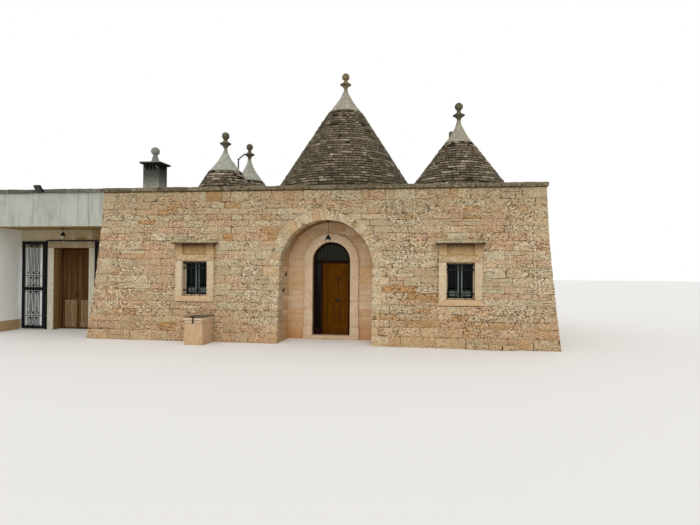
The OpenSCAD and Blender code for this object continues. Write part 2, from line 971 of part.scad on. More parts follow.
// Ring knocker on a boss, and the small plate under it
knocker_x = 182;
knocker_z = 1720;
module door_knocker() {
    ring_r = 38;
    ring_bar = 6;
    boss_r = 22;
    face = leaf_front + panel_sink;
    color("darkgoldenrod") {
        union() {
            translate([knocker_x, face, knocker_z])
                rotate([90, 0, 0])
                    cylinder(r = boss_r, h = panel_sink + boss_r / 2);
            translate([knocker_x, face - boss_r / 2, knocker_z - ring_r])
                rotate([90, 0, 0])
                    rotate_extrude()
                        translate([ring_r, 0])
                            circle(ring_bar, $fn = 24);
        }
        span([knocker_x - ring_r * 2, leaf_front - ring_bar, mid_rail_z - rail_h / 4],
             [knocker_x + ring_r * 2, leaf_front, mid_rail_z + rail_h / 4 - ring_bar]);
    }
}

// Hanging lamps: a ceiling rose, a rod, a hood, a glass and a ring under it
lamp_hood_r = 85;
lamp_hood_h = 120;
lamp_glass_r = 55;
lamp_glass_h = 80;
lamp_rose_h = 30;
niche_lamp_y = 300;
niche_lamp_rod = 370;
// Where the lamp's rose meets the curved underside of the niche's arch
niche_lamp_z = niche_spring + sqrt(niche_r * niche_r - lamp_glass_r * lamp_glass_r) - rest_gap;
porch_lamp_side = 200;
porch_lamp_x = -wing_door_x + porch_lamp_side;
porch_lamp_y = 700;
porch_lamp_rod = 90;

module lamp_metal(rod_h) {
    hood_top = -lamp_rose_h - rod_h;
    rotate_extrude()
        polygon([
            [0, 0], [lamp_glass_r, 0], [lamp_glass_r, -lamp_rose_h / 2], [8, -lamp_rose_h],
            [8, hood_top], [24, hood_top - 12], [lamp_hood_r, hood_top - lamp_hood_h],
            [0, hood_top - lamp_hood_h]
        ]);
}

module lamps() {
    color("black") {
        translate([0, niche_lamp_y, niche_lamp_z])
            lamp_metal(niche_lamp_rod);
        translate([porch_lamp_x, porch_lamp_y, porch_ceiling])
            lamp_metal(porch_lamp_rod);
    }
}

module lamp_bulb_glass(rod_h) {
    top = -lamp_rose_h - rod_h - lamp_hood_h;
    translate([0, 0, top - lamp_glass_h])
        cylinder(r1 = lamp_glass_r * 0.7, r2 = lamp_glass_r, h = lamp_glass_h);
}

module lamp_glass() {
    color("lightyellow") {
        translate([0, niche_lamp_y, niche_lamp_z])
            lamp_bulb_glass(niche_lamp_rod);
        translate([porch_lamp_x, porch_lamp_y, porch_ceiling])
            lamp_bulb_glass(porch_lamp_rod);
    }
}

// The stone cistern under the left window, built against the battered wall
module cistern() {
    color("wheat")
        clear_of_block()
            span([-cistern_x - cistern_w, -cistern_out, 0], [-cistern_x, base_batter, cistern_h]);
}

module cistern_lid() {
    color("wheat")
        clear_of_block()
            span([-cistern_x - cistern_w - cistern_lip, -cistern_out - cistern_lip, cistern_h],
                 [-cistern_x + cistern_lip, base_batter, cistern_h + cistern_lid_t]);
}

module footing_course() {
    footing_x = 3670;
    footing_out = 450;
    color("tan")
        clear_of_block()
            span([footing_x, -footing_out, 0], [footing_x + footing_l, base_batter, footing_h]);
}

// The porch wing: walls, a deep beam over the open front, and a flat roof
module wing_left_wall() {
    color("whitesmoke")
        span([-wing_outer, 0, 0], [-porch_left, wing_depth, wall_top]);
}

module wing_back_wall() {
    color("whitesmoke")
        clear_of_block()
            span([-porch_left, wing_room_back, 0], [-block_left + side_wall_t, wing_depth, wall_top]);
}

wing_open_left = -wing_door_x - wing_door_w / 2;
wing_open_right = -wing_door_x + wing_door_w / 2;

module porch_wall_left() {
    color("whitesmoke")
        span([-porch_left, porch_depth, 0], [wing_open_left, wing_room_front, wing_door_h]);
}

module porch_wall_right() {
    color("whitesmoke")
        clear_of_block()
            span([wing_open_right, porch_depth, 0], [-block_left + side_wall_t, wing_room_front, wing_door_h]);
}

module porch_wall_over() {
    color("whitesmoke")
        clear_of_block()
            span([-porch_left, porch_depth, wing_door_h],
                 [-block_left + side_wall_t, wing_room_front, porch_ceiling]);
}

module porch_beam() {
    color("whitesmoke")
        clear_of_block()
            span([-porch_left, 0, porch_ceiling], [-block_left + side_wall_t, beam_t, wall_top]);
}

module wing_roof() {
    color("lightgray")
        clear_of_block()
            span([-porch_left, beam_t, porch_ceiling],
                 [-block_left + side_wall_t, wing_room_back, porch_ceiling + wing_roof_t]);
}

module wing_door_surround() {
    band_left = wing_open_left - wing_band_w;
    band_right = wing_open_right + wing_band_w;
    color("wheat")
        difference() {
            span([band_left, porch_depth - wing_band_out, 0],
                 [band_right, porch_depth, wing_door_h + wing_band_w]);
            span([wing_open_left, -far, -1], [wing_open_right, far, wing_door_h]);
        }
}

// The wing's double door: a frame set at the room side, and two leaves that open inwards
wing_frame_w = 50;
wing_frame_front = wing_room_front - door_frame_t;
wing_axis_y = wing_room_front + knuckle_r;
wing_leaf_low = wing_floor_z + leaf_gap;
wing_leaf_high = wing_door_h - wing_frame_w - leaf_gap;
wing_axis_left = wing_open_left + wing_frame_w + leaf_gap / 2;
wing_axis_right = wing_open_right - wing_frame_w - leaf_gap / 2;

module wing_door_frame() {
    color("saddlebrown")
        union() {
            difference() {
                span([wing_open_left, wing_frame_front, 0],
                     [wing_open_right, wing_room_front, wing_door_h]);
                span([wing_open_left + wing_frame_w, -far, wing_floor_z],
                     [wing_open_right - wing_frame_w, far, wing_door_h - wing_frame_w]);
            }
            translate([wing_axis_left, wing_axis_y, 0])
                frame_knuckles(-1);
            translate([wing_axis_right, wing_axis_y, 0])
                frame_knuckles(1);
        }
}

// One leaf of the double door, from its hinge edge towards the middle
module wing_leaf(side) {
    width = wing_door_w / 2 - wing_frame_w - leaf_gap * 1.5;
    board_z = 860;
    stile = 70;
    sink = 8;
    boards = 5;
    board_w = (width - 2 * stile) / boards;
    board_joint = 6;
    front = wing_room_front - wing_leaf_t;
    hinge_x = side > 0 ? wing_axis_right - leaf_gap / 2 - width : wing_axis_left + leaf_gap / 2;
    color("saddlebrown")
        union() {
            difference() {
                span([hinge_x, front, wing_leaf_low], [hinge_x + width, wing_room_front, wing_leaf_high]);
                span([hinge_x + stile, -far, board_z + stile],
                     [hinge_x + width - stile, front + sink, wing_leaf_high - stile]);
                span([hinge_x + stile, -far, wing_leaf_low + stile * 2],
                     [hinge_x + width - stile, front + sink, board_z]);
                for (i = [1 : boards - 1])
                    span([hinge_x + stile + board_w * i - board_joint / 2, -far, board_z + stile],
                         [hinge_x + stile + board_w * i + board_joint / 2,
                          front + sink + board_joint / 2, wing_leaf_high - stile]);
            }
            translate([side > 0 ? wing_axis_right : wing_axis_left, wing_axis_y, 0])
                leaf_knuckles(-side);
        }
}

module wing_door_left() {
    wing_leaf(-1);
}

module wing_door_right() {
    wing_leaf(1);
}

// The iron gate in front of the wing's doorway. Its posts stand beside the stone band,
// and its leaves turn on pins in front of the posts, so they fold right back.
gate_axis_left = wing_open_left - wing_band_w - gate_post / 2;
gate_axis_right = wing_open_right + wing_band_w + gate_post / 2;
gate_wall_gap = 15;
gate_post_front = porch_depth - gate_post - gate_wall_gap;
gate_axis_y = gate_post_front - gate_gap - gate_t / 2;
gate_leaf_w = (gate_axis_right - gate_axis_left) / 2 - leaf_gap;
gate_h = wing_door_h + wing_band_w - gate_drop;
// Heights of the two pins, one from the ground up and one from the leaf's head down
gate_low_pin = 300;
gate_high_pin = 340;
gate_hinges = [gate_low_pin, gate_h - gate_high_pin];
gate_pin_r = 9;
gate_lug_h = 40;
// Heights of the gate's middle rail and of its two short cross bars
gate_rail_z = 1255;
gate_cross = [435, 1710];

module gate_frame() {
    color("black")
        union() {
            for (x = [gate_axis_left, gate_axis_right]) {
                span([x - gate_post / 2, gate_post_front, 0],
                     [x + gate_post / 2, porch_depth, gate_h + gate_post]);
                for (z = gate_hinges) {
                    translate([x, gate_axis_y, z])
                        cylinder(r = gate_pin_r, h = gate_lug_h);
                    span([x - gate_pin_r / 2, gate_axis_y, z],
                         [x + gate_pin_r / 2, gate_post_front, z + gate_lug_h]);
                }
            }
            span([gate_axis_left, gate_post_front, gate_h + leaf_gap],
                 [gate_axis_right, porch_depth - wing_band_out, gate_h + gate_post]);
        }
}

// One leaf, drawn along +X from its pin at the origin
module gate_leaf() {
    near = gate_pin_r + gate_gap / 2;
    bars = 5;
    clear_w = gate_leaf_w - near - 2 * gate_stile;
    half = gate_t / 2;
    color("black")
        union() {
            difference() {
                span([near, -half, gate_foot], [gate_leaf_w, half, gate_h]);
                span([near + gate_stile, -far, gate_foot + gate_rail],
                     [gate_leaf_w - gate_stile, far, gate_rail_z]);
                span([near + gate_stile, -far, gate_rail_z + gate_rail],
                     [gate_leaf_w - gate_stile, far, gate_h - gate_rail]);
            }
            for (i = [1 : bars]) {
                x = near + gate_stile + clear_w * i / (bars + 1);
                span([x - gate_bar / 2, -gate_bar / 2, gate_foot + gate_rail / 2],
                     [x + gate_bar / 2, gate_bar / 2, gate_h - gate_rail / 2]);
            }
            for (z = gate_cross)
                span([near + gate_stile + clear_w / (bars + 1), -gate_bar / 2, z],
                     [gate_leaf_w - gate_stile - clear_w / (bars + 1), gate_bar / 2, z + gate_bar]);
            for (z = gate_hinges)
                translate([0, 0, z + gate_lug_h + rest_gap]) {
                    cylinder(r = gate_pin_r, h = gate_lug_h);
                    span([0, -gate_pin_r / 2, 0], [near + gate_pin_r, gate_pin_r / 2, gate_lug_h]);
                }
        }
}

module gate_left() {
    translate([gate_axis_left, gate_axis_y, 0])
        rotate([0, 0, 180])
            gate_leaf();
}

module gate_right() {
    translate([gate_axis_right, gate_axis_y, 0])
        rotate([0, 0, -gate_right_rest])
            gate_leaf();
}

// A small floodlight. Its arm lies on the coping's slab, and its body hangs from the arm
// before the coping's edge, tilted towards the ground.
module floodlight() {
    flood_side = 40;
    flood_x = -wing_door_x + flood_side;
    flood_w = 210;
    flood_h = 220;
    flood_t = 45;
    flood_tilt = 40;
    flood_clear = 2;
    foot_y = -coping_out - flood_clear - flood_t * cos(flood_tilt);
    foot_z = wall_top + 10;
    top = wall_top + coping_t;
    arm_w = 40;
    arm_t = 12;
    arm_back = 60;
    arm_front = foot_y + flood_t / 2 / cos(flood_tilt) - (top - foot_z) * tan(flood_tilt);
    color("black")
        union() {
            span([flood_x - arm_w / 2, arm_front, top], [flood_x + arm_w / 2, arm_back, top + arm_t]);
            translate([flood_x - flood_w / 2, foot_y, foot_z])
                rotate([flood_tilt, 0, 0])
                    cube([flood_w, flood_t, flood_h]);
        }
}

at_origin() front_wall_left();
at_origin() front_wall_right();
at_origin() niche_arch_wall();
at_origin() door_wall_left();
at_origin() door_wall_right();
at_origin() door_wall_arch();
at_origin() left_wall();
at_origin() right_wall();
at_origin() back_wall();
at_origin() floors();
at_origin() terrace_left();
at_origin() terrace_middle();
at_origin() terrace_right();
at_origin() copings();
at_origin() main_cone();
at_origin() right_cone();
at_origin() left_cone();
at_origin() rear_cone();
at_origin() cone_caps();
at_origin() finials();
at_origin() chimney_shaft();
at_origin() chimney_cap();
at_origin() roof_pipe();
at_origin() window_surrounds();
at_origin() window_hoods();
at_origin() window_sashes();
at_origin() window_glass();
at_origin() window_grilles();
at_origin() door_surround();
at_origin() threshold();
at_origin() door_frame();
at_origin() door_glass();
at_origin() front_door();
at_origin() door_knocker();
at_origin() lamps();
at_origin() lamp_glass();
at_origin() cistern();
at_origin() cistern_lid();
at_origin() footing_course();
at_origin() wing_left_wall();
at_origin() wing_back_wall();
at_origin() porch_wall_left();
at_origin() porch_wall_right();
at_origin() porch_wall_over();
at_origin() porch_beam();
at_origin() wing_roof();
at_origin() wing_door_surround();
at_origin() wing_door_frame();
at_origin() wing_door_left();
at_origin() wing_door_right();
at_origin() gate_frame();
at_origin() gate_left();
at_origin() gate_right();
at_origin() floodlight();
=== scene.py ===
# %% [markdown]
# # A trullo house
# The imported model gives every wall, arch and joint its place. This lesson dresses it: single
# stones on the walls, slabs on the cones, trowelled caps, worn copings, wood, iron and plaster.
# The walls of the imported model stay, and show as mortar between the stones.

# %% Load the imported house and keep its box
import functools
import json
import math
import random

import bmesh
import bpy
import numpy as np
from mathutils import Matrix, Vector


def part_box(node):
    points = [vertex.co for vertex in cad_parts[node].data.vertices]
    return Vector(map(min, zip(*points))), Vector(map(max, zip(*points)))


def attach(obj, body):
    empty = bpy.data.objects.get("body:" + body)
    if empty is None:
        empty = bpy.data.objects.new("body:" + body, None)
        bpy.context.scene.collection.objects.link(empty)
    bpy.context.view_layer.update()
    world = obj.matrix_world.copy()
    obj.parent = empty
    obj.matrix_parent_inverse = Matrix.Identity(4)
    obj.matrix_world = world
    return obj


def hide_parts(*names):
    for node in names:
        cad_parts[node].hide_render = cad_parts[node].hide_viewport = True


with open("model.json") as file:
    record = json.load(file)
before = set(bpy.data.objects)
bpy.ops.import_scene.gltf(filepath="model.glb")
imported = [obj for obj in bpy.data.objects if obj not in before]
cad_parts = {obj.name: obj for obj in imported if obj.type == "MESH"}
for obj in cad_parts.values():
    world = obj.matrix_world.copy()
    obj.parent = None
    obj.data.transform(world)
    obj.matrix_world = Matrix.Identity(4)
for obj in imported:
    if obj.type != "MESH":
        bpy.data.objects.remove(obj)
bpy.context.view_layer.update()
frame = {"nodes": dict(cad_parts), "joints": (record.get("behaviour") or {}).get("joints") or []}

dice = random.Random(1857)

# %% [markdown]
# A mason measures from the middle of the entrance and from the front's top edge. The same is
# done here: house coordinates run right from the niche's middle, back from the front, and up.
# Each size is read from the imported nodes, so that a stone always meets its wall.

# %% House coordinates and the main sizes
threshold_low, threshold_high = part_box("threshold")
ORIGIN = np.array([(threshold_low.x + threshold_high.x) / 2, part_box("porch_beam")[0].y, 0.0])


def span(node):
    """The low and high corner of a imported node, in house coordinates."""
    low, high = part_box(node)
    return np.array(low) - ORIGIN, np.array(high) - ORIGIN


BATTER = -span("front_wall_left")[0][1]
BATTER_POWER = 1.45
WALL_TOP = span("front_wall_left")[1][2]
LEFT = span("front_wall_left")[0][0] + BATTER
RIGHT = span("front_wall_right")[1][0] - BATTER
BACK = span("back_wall")[1][1] - BATTER
NICHE_R = span("door_wall_arch")[1][0]
NICHE_SPRING = span("niche_arch_wall")[0][2]
NICHE_DEPTH = span("door_wall_left")[0][1]
DOOR_R = span("door_wall_right")[0][0]
DOOR_SPRING = span("door_wall_arch")[0][2]
THRESHOLD_Z = threshold_high.z
WINDOW_W = 0.717
SASH_LOW, SASH_HIGH = span("window_sashes")
SURROUND_LOW, SURROUND_HIGH = span("window_surrounds")
WINDOW_X = (SASH_LOW[0] + WINDOW_W / 2, SASH_HIGH[0] - WINDOW_W / 2)
WINDOW_JAMB = SASH_LOW[0] - SURROUND_LOW[0]
SILL_Z, HEAD_Z = SASH_LOW[2], SASH_HIGH[2]
HOOD_LOW, HOOD_HIGH = span("window_hoods")
WING_LOW, WING_HIGH = span("wing_left_wall")
PORCH_DEPTH = span("porch_wall_left")[0][1]
PORCH_CEILING = span("porch_beam")[0][2]
print("stone block", round(RIGHT - LEFT, 3), "by", round(BACK, 3), "m")
print("niche", round(2 * NICHE_R, 3), "m wide")

# %% [markdown]
# Stones and boards are laid one by one into a pile, and each pile becomes one mesh. Every stone
# keeps three numbers of its own, its tone: which colour of the quarry it has, how light it is,
# and how weathered. The materials read that tone, so no picture is needed.

# %% Piles of stones that become one piece
PLAIN = (0.5, 0.5, 0.5)


class Pile:
    """Stones, boards or bars that end as one mesh."""

    def __init__(self):
        self.points, self.faces, self.tones, self.count = [], [], [], 0

    def lay(self, points, faces, tone=PLAIN):
        """Adds one closed body. The tone is one for all its faces, or one for each."""
        self.points.append(np.asarray(points, float))
        self.faces += [tuple(self.count + i for i in face) for face in faces]
        self.tones += tone if isinstance(tone, list) else [tone] * len(faces)
        self.count += len(points)


def set_piece(name, pile, material, stands_for=(), body="house", crease=42):
    """Makes the pile a mesh in the house, riding on its body."""
    mesh = bpy.data.meshes.new(name)
    mesh.from_pydata((np.concatenate(pile.points) + ORIGIN).tolist(), [], pile.faces)
    tones = mesh.attributes.new("tone", "FLOAT_VECTOR", "FACE")
    tones.data.foreach_set("vector", np.array(pile.tones, np.float32).ravel())
    form = bmesh.new()
    form.from_mesh(mesh)
    bmesh.ops.recalc_face_normals(form, faces=form.faces)
    form.to_mesh(mesh)
    form.free()
    mesh.polygons.foreach_set("use_smooth", [True] * len(mesh.polygons))
    mesh.set_sharp_from_angle(angle=math.radians(crease))
    mesh.materials.append(material)
    piece = bpy.data.objects.new(name, mesh)
    bpy.context.scene.collection.objects.link(piece)
    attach(piece, body)
    if stands_for:
        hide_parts(*stands_for)
    triangles = sum(len(p.vertices) - 2 for p in mesh.polygons)
    print(f"{name}: {triangles} triangles")
    return piece


# %% [markdown]
# Nearly everything on this house is a block with worn edges: a quoin, a slab, a sill, a board.
# Blender's own cube with a bevel would do for a few, but there are thousands, so one function
# makes the points directly. It rounds the box, roughens it, and can bend it into an arch or ring.

# %% One worn block
WAVES = np.random.default_rng(3).normal(size=(3, 11))


def rough(points, size):
    """A smooth unevenness from about -1 to 1, with humps about size metres across."""
    return np.sin(points @ WAVES * (2.2 / size) + np.arange(11)).sum(1) / 3.3


@functools.lru_cache(None)
def shell(*cells):
    """The surface of a grid of cells: three counts for each point, and the faces."""
    counts, faces = {}, []
    for axis in range(3):
        across = [cells[a] for a in range(3) if a != axis]
        for end in (0, cells[axis]):
            for j, k in np.ndindex(*across):
                corners = ((j, k), (j + 1, k), (j + 1, k + 1), (j, k + 1))
                keys = [corner[:axis] + (end,) + corner[axis:] for corner in corners]
                faces.append(tuple(counts.setdefault(key, len(counts)) for key in keys))
    return np.array(list(counts)), faces


def block(pile, low, high, place=None, arris=0.006, cells=(1, 1, 1), wear=0.0, skew=0.0, tone=PLAIN):
    """A closed block between two corners. Place bends it, wear roughens it, skew shifts its corners."""
    low, high = np.minimum(low, high).astype(float), np.maximum(low, high).astype(float)
    arris = min(arris, 0.4 * (high - low).min())
    lines = [np.concatenate([[low[a]], np.linspace(low[a] + arris, high[a] - arris, cells[a] + 1), [high[a]]])
             for a in range(3)]
    index, faces = shell(*(len(line) - 1 for line in lines))
    box = np.stack([lines[a][index[:, a]] for a in range(3)], axis=1)
    core = np.clip(box, low + arris, high - arris)
    out = box - core
    out /= np.linalg.norm(out, axis=1, keepdims=True)
    points = core + out * arris
    if skew:
        share = (points - low) / (high - low)
        for corner in np.ndindex(2, 2, 2):
            weight = np.prod(np.where(corner, share, 1 - share), axis=1)
            points = points + weight[:, None] * [dice.uniform(-skew, skew) for _ in range(3)]
    if wear:
        shift = points + dice.uniform(0, 50)
        points = points + out * (wear * (rough(shift, 0.22) + 0.6 * rough(shift, 0.07)))[:, None]
    pile.lay(place(*points.T) if place else points, faces, tone)


# %% [markdown]
# Round work, such as caps, finials, knobs and lamps, is turned: a profile of radii and heights
# goes round an upright axis. Bars, rings and pipes are a small circle carried along a path.

# %% Turned forms and rods
def turned(pile, profile, centre, steps=32, wear=0.0, size=0.15, tones=None):
    """Turns a profile of (radius, height) pairs round the upright axis at centre, closed at its ends."""
    turn = np.arange(steps) * 2 * math.pi / steps
    rings = [np.stack([r * np.cos(turn), r * np.sin(turn), np.full(steps, z)], axis=1) for r, z in profile]
    points = np.concatenate(rings) + centre
    if wear:
        out = np.stack([np.cos(turn), np.sin(turn), 0 * turn], axis=1)
        points += np.tile(out, (len(profile), 1)) * (wear * rough(points, size))[:, None]
    tones = tones or [PLAIN] * len(profile)
    faces, tone = [tuple(range(steps))], [tones[0]]
    for row in range(len(profile) - 1):
        for i in range(steps):
            a, b = row * steps + i, row * steps + (i + 1) % steps
            faces.append((a, b, b + steps, a + steps))
            tone.append(tones[row])
    faces.append(tuple(range((len(profile) - 1) * steps, len(profile) * steps)))
    tone.append(tones[-1])
    pile.lay(points, faces, tone)


def ball_profile(radius, middle, rings=12):
    """The profile of a ball whose middle is at a height."""
    turns = np.linspace(-math.pi / 2, math.pi / 2, rings + 1)
    return [(max(radius * math.cos(t), 0.001), middle + radius * math.sin(t)) for t in turns]


def rod(pile, path, radius, sides=8, tone=PLAIN, closed=False):
    """A round bar along a path, or a ring where the path is closed."""
    path = np.array(path, float)
    count = len(path)
    ahead = np.roll(path, -1, 0) - np.roll(path, 1, 0)
    if not closed:
        ahead[0], ahead[-1] = path[1] - path[0], path[-1] - path[-2]
    ahead /= np.linalg.norm(ahead, axis=1, keepdims=True)
    aside = np.cross(ahead, [0, 0, 1] if abs(ahead[:, 2]).mean() < 0.7 else [0, 1, 0])
    aside /= np.linalg.norm(aside, axis=1, keepdims=True)
    above = np.cross(aside, ahead)
    turn = (np.arange(sides) + 0.5) * 2 * math.pi / sides
    ring = aside[:, None] * np.cos(turn)[None, :, None] + above[:, None] * np.sin(turn)[None, :, None]
    points = (path[:, None] + radius * ring).reshape(-1, 3)
    faces = []
    for row in range(count if closed else count - 1):
        for i in range(sides):
            a, b = row * sides + i, row * sides + (i + 1) % sides
            up = sides if row < count - 1 else sides - count * sides
            faces.append((a, b, b + up, a + up))
    if not closed:
        faces += [tuple(range(sides)), tuple(range((count - 1) * sides, count * sides))]
    pile.lay(points, faces, tone)


# %% [markdown]
# Materials are grown from nodes. One small function adds a node with its settings and its
# links. The others wrap what comes back in every material: ramps, clouds, blotches and stains.

# %% Node helpers
def linear(code):
    """A six digit sRGB colour as the linear colour that a socket takes."""
    channels = [int(code[i:i + 2], 16) / 255 for i in (0, 2, 4)]
    return [c / 12.92 if c <= 0.04045 else ((c + 0.055) / 1.055) ** 2.4 for c in channels] + [1.0]


def add(tree, kind, sockets=None, stops=None, **settings):
    """Adds one shader node. Sockets take values or the outputs that feed them."""
    node = tree.nodes.new("ShaderNode" + kind)
    for name, value in settings.items():
        setattr(node, name, value)
    for name, value in (sockets or {}).items():
        if isinstance(value, bpy.types.NodeSocket):
            tree.links.new(value, node.inputs[name])
        else:
            node.inputs[name].default_value = value
    if stops:
        ramp = node.color_ramp
        ramp.elements.remove(ramp.elements[1])
        ramp.elements[0].position, ramp.elements[0].color = stops[0][0], linear(stops[0][1])
        for at, code in stops[1:]:
            ramp.elements.new(at).color = linear(code)
    return node


def times(tree, *factors):
    """The product of values and outputs, held between 0 and 1."""
    product = factors[0]
    for factor in factors[1:]:
        product = add(tree, "Math", {0: product, 1: factor}, operation="MULTIPLY", use_clamp=True).outputs[0]
    return product


def weighed(tree, value, factor, base, clamp=False):
    """Value times factor, plus base."""
    inputs = {0: value, 1: factor, 2: base}
    return add(tree, "Math", inputs, operation="MULTIPLY_ADD", use_clamp=clamp).outputs[0]


def ramp_up(tree, value, start, full, top=1.0):
    """0 where value is at start, and top where it is at full."""
    stretch = {"Value": value, "From Min": start, "From Max": full, "To Max": top}
    return add(tree, "MapRange", stretch).outputs[0]


def between(tree, share, low, high):
    """A share from 0 to 1 as a number from low to high."""
    return add(tree, "MapRange", {"Value": share, "To Min": low, "To Max": high}).outputs[0]


def cloud(tree, where, size, detail, roughness=0.5):
    """A cloudy noise about size metres across. Detail and roughness add finer clouds to it."""
    noise = {"Vector": where, "Scale": 1 / size, "Detail": detail, "Roughness": roughness}
    return add(tree, "TexNoise", noise).outputs[0]


def blotches(tree, where, size, start, full, detail=3.0):
    """Blotches about size metres across: 0 where the cloud is below start, 1 above full."""
    shape = {"Value": cloud(tree, where, size, detail, 0.6), "From Min": start, "From Max": full}
    return add(tree, "MapRange", shape, interpolation_type="SMOOTHSTEP").outputs[0]


def stretched(tree, where, x, y, z):
    """The same place with each direction scaled, so that a pattern grows long or flat."""
    return add(tree, "VectorMath", {0: where, 1: (x, y, z)}, operation="MULTIPLY").outputs[0]


def stained(tree, colour, code, cover):
    """The colour with another one over it, as much as cover says."""
    under = colour if isinstance(colour, bpy.types.NodeSocket) else linear(colour)
    return add(tree, "Mix", {0: cover, 6: under, 7: linear(code)}, data_type="RGBA").outputs[2]


def mottled(tree, colour, code, cover, where, size, start, full, detail=3.0):
    """The colour with blotches of another one over it, as much as cover says."""
    return stained(tree, colour, code, times(tree, blotches(tree, where, size, start, full, detail), cover))


def lightened(tree, colour, shade, low, high):
    """The colour as light as the shade of its stone or board says, from low to high."""
    return add(tree, "HueSaturation", {"Value": between(tree, shade, low, high), "Color": colour}).outputs[0]


def read_tone(tree):
    """The three numbers of each stone or board: its pick, its shade and its age."""
    tone = add(tree, "Attribute", attribute_name="tone").outputs["Vector"]
    return tone, *add(tree, "SeparateXYZ", {0: tone}).outputs


def own_pattern(tree, tone, place):
    """A place shifted by the tone, so that each stone has its own piece of a pattern."""
    return add(tree, "VectorMath", {0: tone, 1: (37, 37, 37), 2: place}, operation="MULTIPLY_ADD").outputs[0]


def height_of(tree, place):
    """The height of a place above the ground."""
    return add(tree, "SeparateXYZ", {0: place}).outputs["Z"]


def start_material(name):
    """A new material, its node tree, its surface shader, and the place of a point in metres."""
    material = bpy.data.materials.new(name)
    material.use_nodes = True
    tree = material.node_tree
    return material, tree, tree.nodes["Principled BSDF"], add(tree, "TexCoord").outputs["Object"]


def finish_surface(tree, surface, colour, height, depth, roughness, shine):
    """Gives the shader its colour, its relief of a depth in metres, its roughness and its shine."""
    if isinstance(colour, bpy.types.NodeSocket):
        tree.links.new(colour, surface.inputs["Base Color"])
    else:
        surface.inputs["Base Color"].default_value = linear(colour)
    bump = add(tree, "Bump", {"Distance": depth, "Height": height}).outputs[0]
    tree.links.new(bump, surface.inputs["Normal"])
    surface.inputs["Roughness"].default_value = roughness
    surface.inputs["Specular IOR Level"].default_value = shine


def dress(material, *nodes):
    """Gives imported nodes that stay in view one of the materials."""
    for node in nodes:
        frame["nodes"][node].data.materials[0] = material


# %% [markdown]
# Limestone is a dull, porous stone: a rough surface with no gloss, an IOR near 1.5 and a colour
# that changes from block to block. Over the colour of the block lie mottles of iron, a pale
# crust of lichen where the stone is old, and dark pits. One recipe makes every dressed stone.

# %% The limestone recipe
def limestone(name, quarry, mottle, crust, pits, relief, shades=(0.9, 1.1), damp_and_shade_by_height=None):
    """Weathered limestone. Mottle, crust and pits are (colour, cover, size in metres).

    Relief is (depth, size of the grain). Shades are the darkest and the lightest stone. The height
    band is (colour, height where it starts, height where it is full, cover): a damp stain on some
    stones, painted shade on the vault and the frieze.
    """
    material, tree, surface, place = start_material(name)
    tone, pick, shade, age = read_tone(tree)
    colour = add(tree, "ValToRGB", {"Fac": pick}, stops=quarry).outputs[0]
    colour = mottled(tree, colour, *mottle[:2], own_pattern(tree, tone, place), mottle[2], 0.50, 0.72)
    old = blotches(tree, place, crust[2], 0.42, 0.64, 5.0)
    colour = stained(tree, colour, crust[0], times(tree, old, age, crust[1]))
    pocks = blotches(tree, place, pits[2], 0.54, 0.68, 3.0)
    colour = stained(tree, colour, pits[0], times(tree, pocks, pits[1]))
    # A band of colour by height: damp on most stones, painted shade on the vault and the frieze.
    if damp_and_shade_by_height:
        damp_and_shade_band = ramp_up(tree, height_of(tree, place), *damp_and_shade_by_height[1:])
        colour = stained(tree, colour, damp_and_shade_by_height[0], damp_and_shade_band)
    colour = lightened(tree, colour, shade, *shades)
    grain = cloud(tree, place, relief[1], 6.0, 0.65)
    height = weighed(tree, pocks, -0.5, grain)
    finish_surface(tree, surface, colour, height, relief[0], 0.9, 0.2)
    return material


# The niche's lining was rubbed smooth: warmer, pinker, with soft cloudy stains.
lining_stone = limestone(
    "rubbed_limestone",
    [(0.0, "d0b494"), (0.5, "caac8a"), (1.0, "c6a075")],
    ("bb9064", 0.5, 0.30), ("d6c3a4", 0.8, 0.22), ("977853", 0.4, 0.05), (0.003, 0.03),
    shades=(0.97, 1.03), damp_and_shade_by_height=("b47b43", 0.8, 0.0, 0.75))
# The vault's stone darkens to brown towards its crown: painted shade under the vault.
vault_stone = limestone(
    "vault_limestone_painted_shade",
    [(0.0, "c2a17b"), (0.5, "b9956d"), (1.0, "ae8a61")],
    ("a27c50", 0.6, 0.25), ("c9ad86", 0.6, 0.2), ("7c5c39", 0.4, 0.05), (0.003, 0.03),
    shades=(0.97, 1.03), damp_and_shade_by_height=("6a451f", NICHE_SPRING + 0.2, NICHE_SPRING + NICHE_R, 0.85))
# The windows' surrounds are of dressed cream stone, the cleanest on the house.
cream_stone = limestone(
    "dressed_cream_limestone",
    [(0.0, "c6b496"), (0.5, "c0aa8a"), (0.95, "c2a179"), (1.0, "ad8f67")],
    ("b99872", 0.55, 0.16), ("cfc3aa", 0.9, 0.07), ("87704f", 0.55, 0.04), (0.006, 0.03),
    shades=(0.94, 1.06))
# Copings catch the rain: grey-brown with dark lichen.
coping_stone = limestone(
    "weathered_grey_limestone",
    [(0.0, "6e624c"), (0.5, "5f5441"), (1.0, "7a6c4f")],
    ("453d2e", 0.75, 0.12), ("988f79", 0.8, 0.07), ("2b261d", 0.8, 0.05), (0.010, 0.035))
# Cone slabs: thin grey slabs, brown in places, with single pale ones among them.
slab_stone = limestone(
    "grey_roof_limestone",
    [(0.0, "4b412f"), (0.35, "594e3b"), (0.62, "645843"), (0.84, "70614a"), (0.93, "938671"),
     (1.0, "b4a892")],
    ("463a2a", 0.45, 0.09), ("a99f88", 0.8, 0.05), ("1f1b14", 0.6, 0.045), (0.012, 0.03),
    shades=(0.82, 1.18))

# %% [markdown]
# The walls are the oldest and roughest stone here. Broad grey and ochre stains cross the joints,
# and in rugged zones cream crust and dark pits break up every face, so that the stones run
# together from afar. Crust and pits are drawn 5 to 6 cm wide, coarser than real, to show at all.

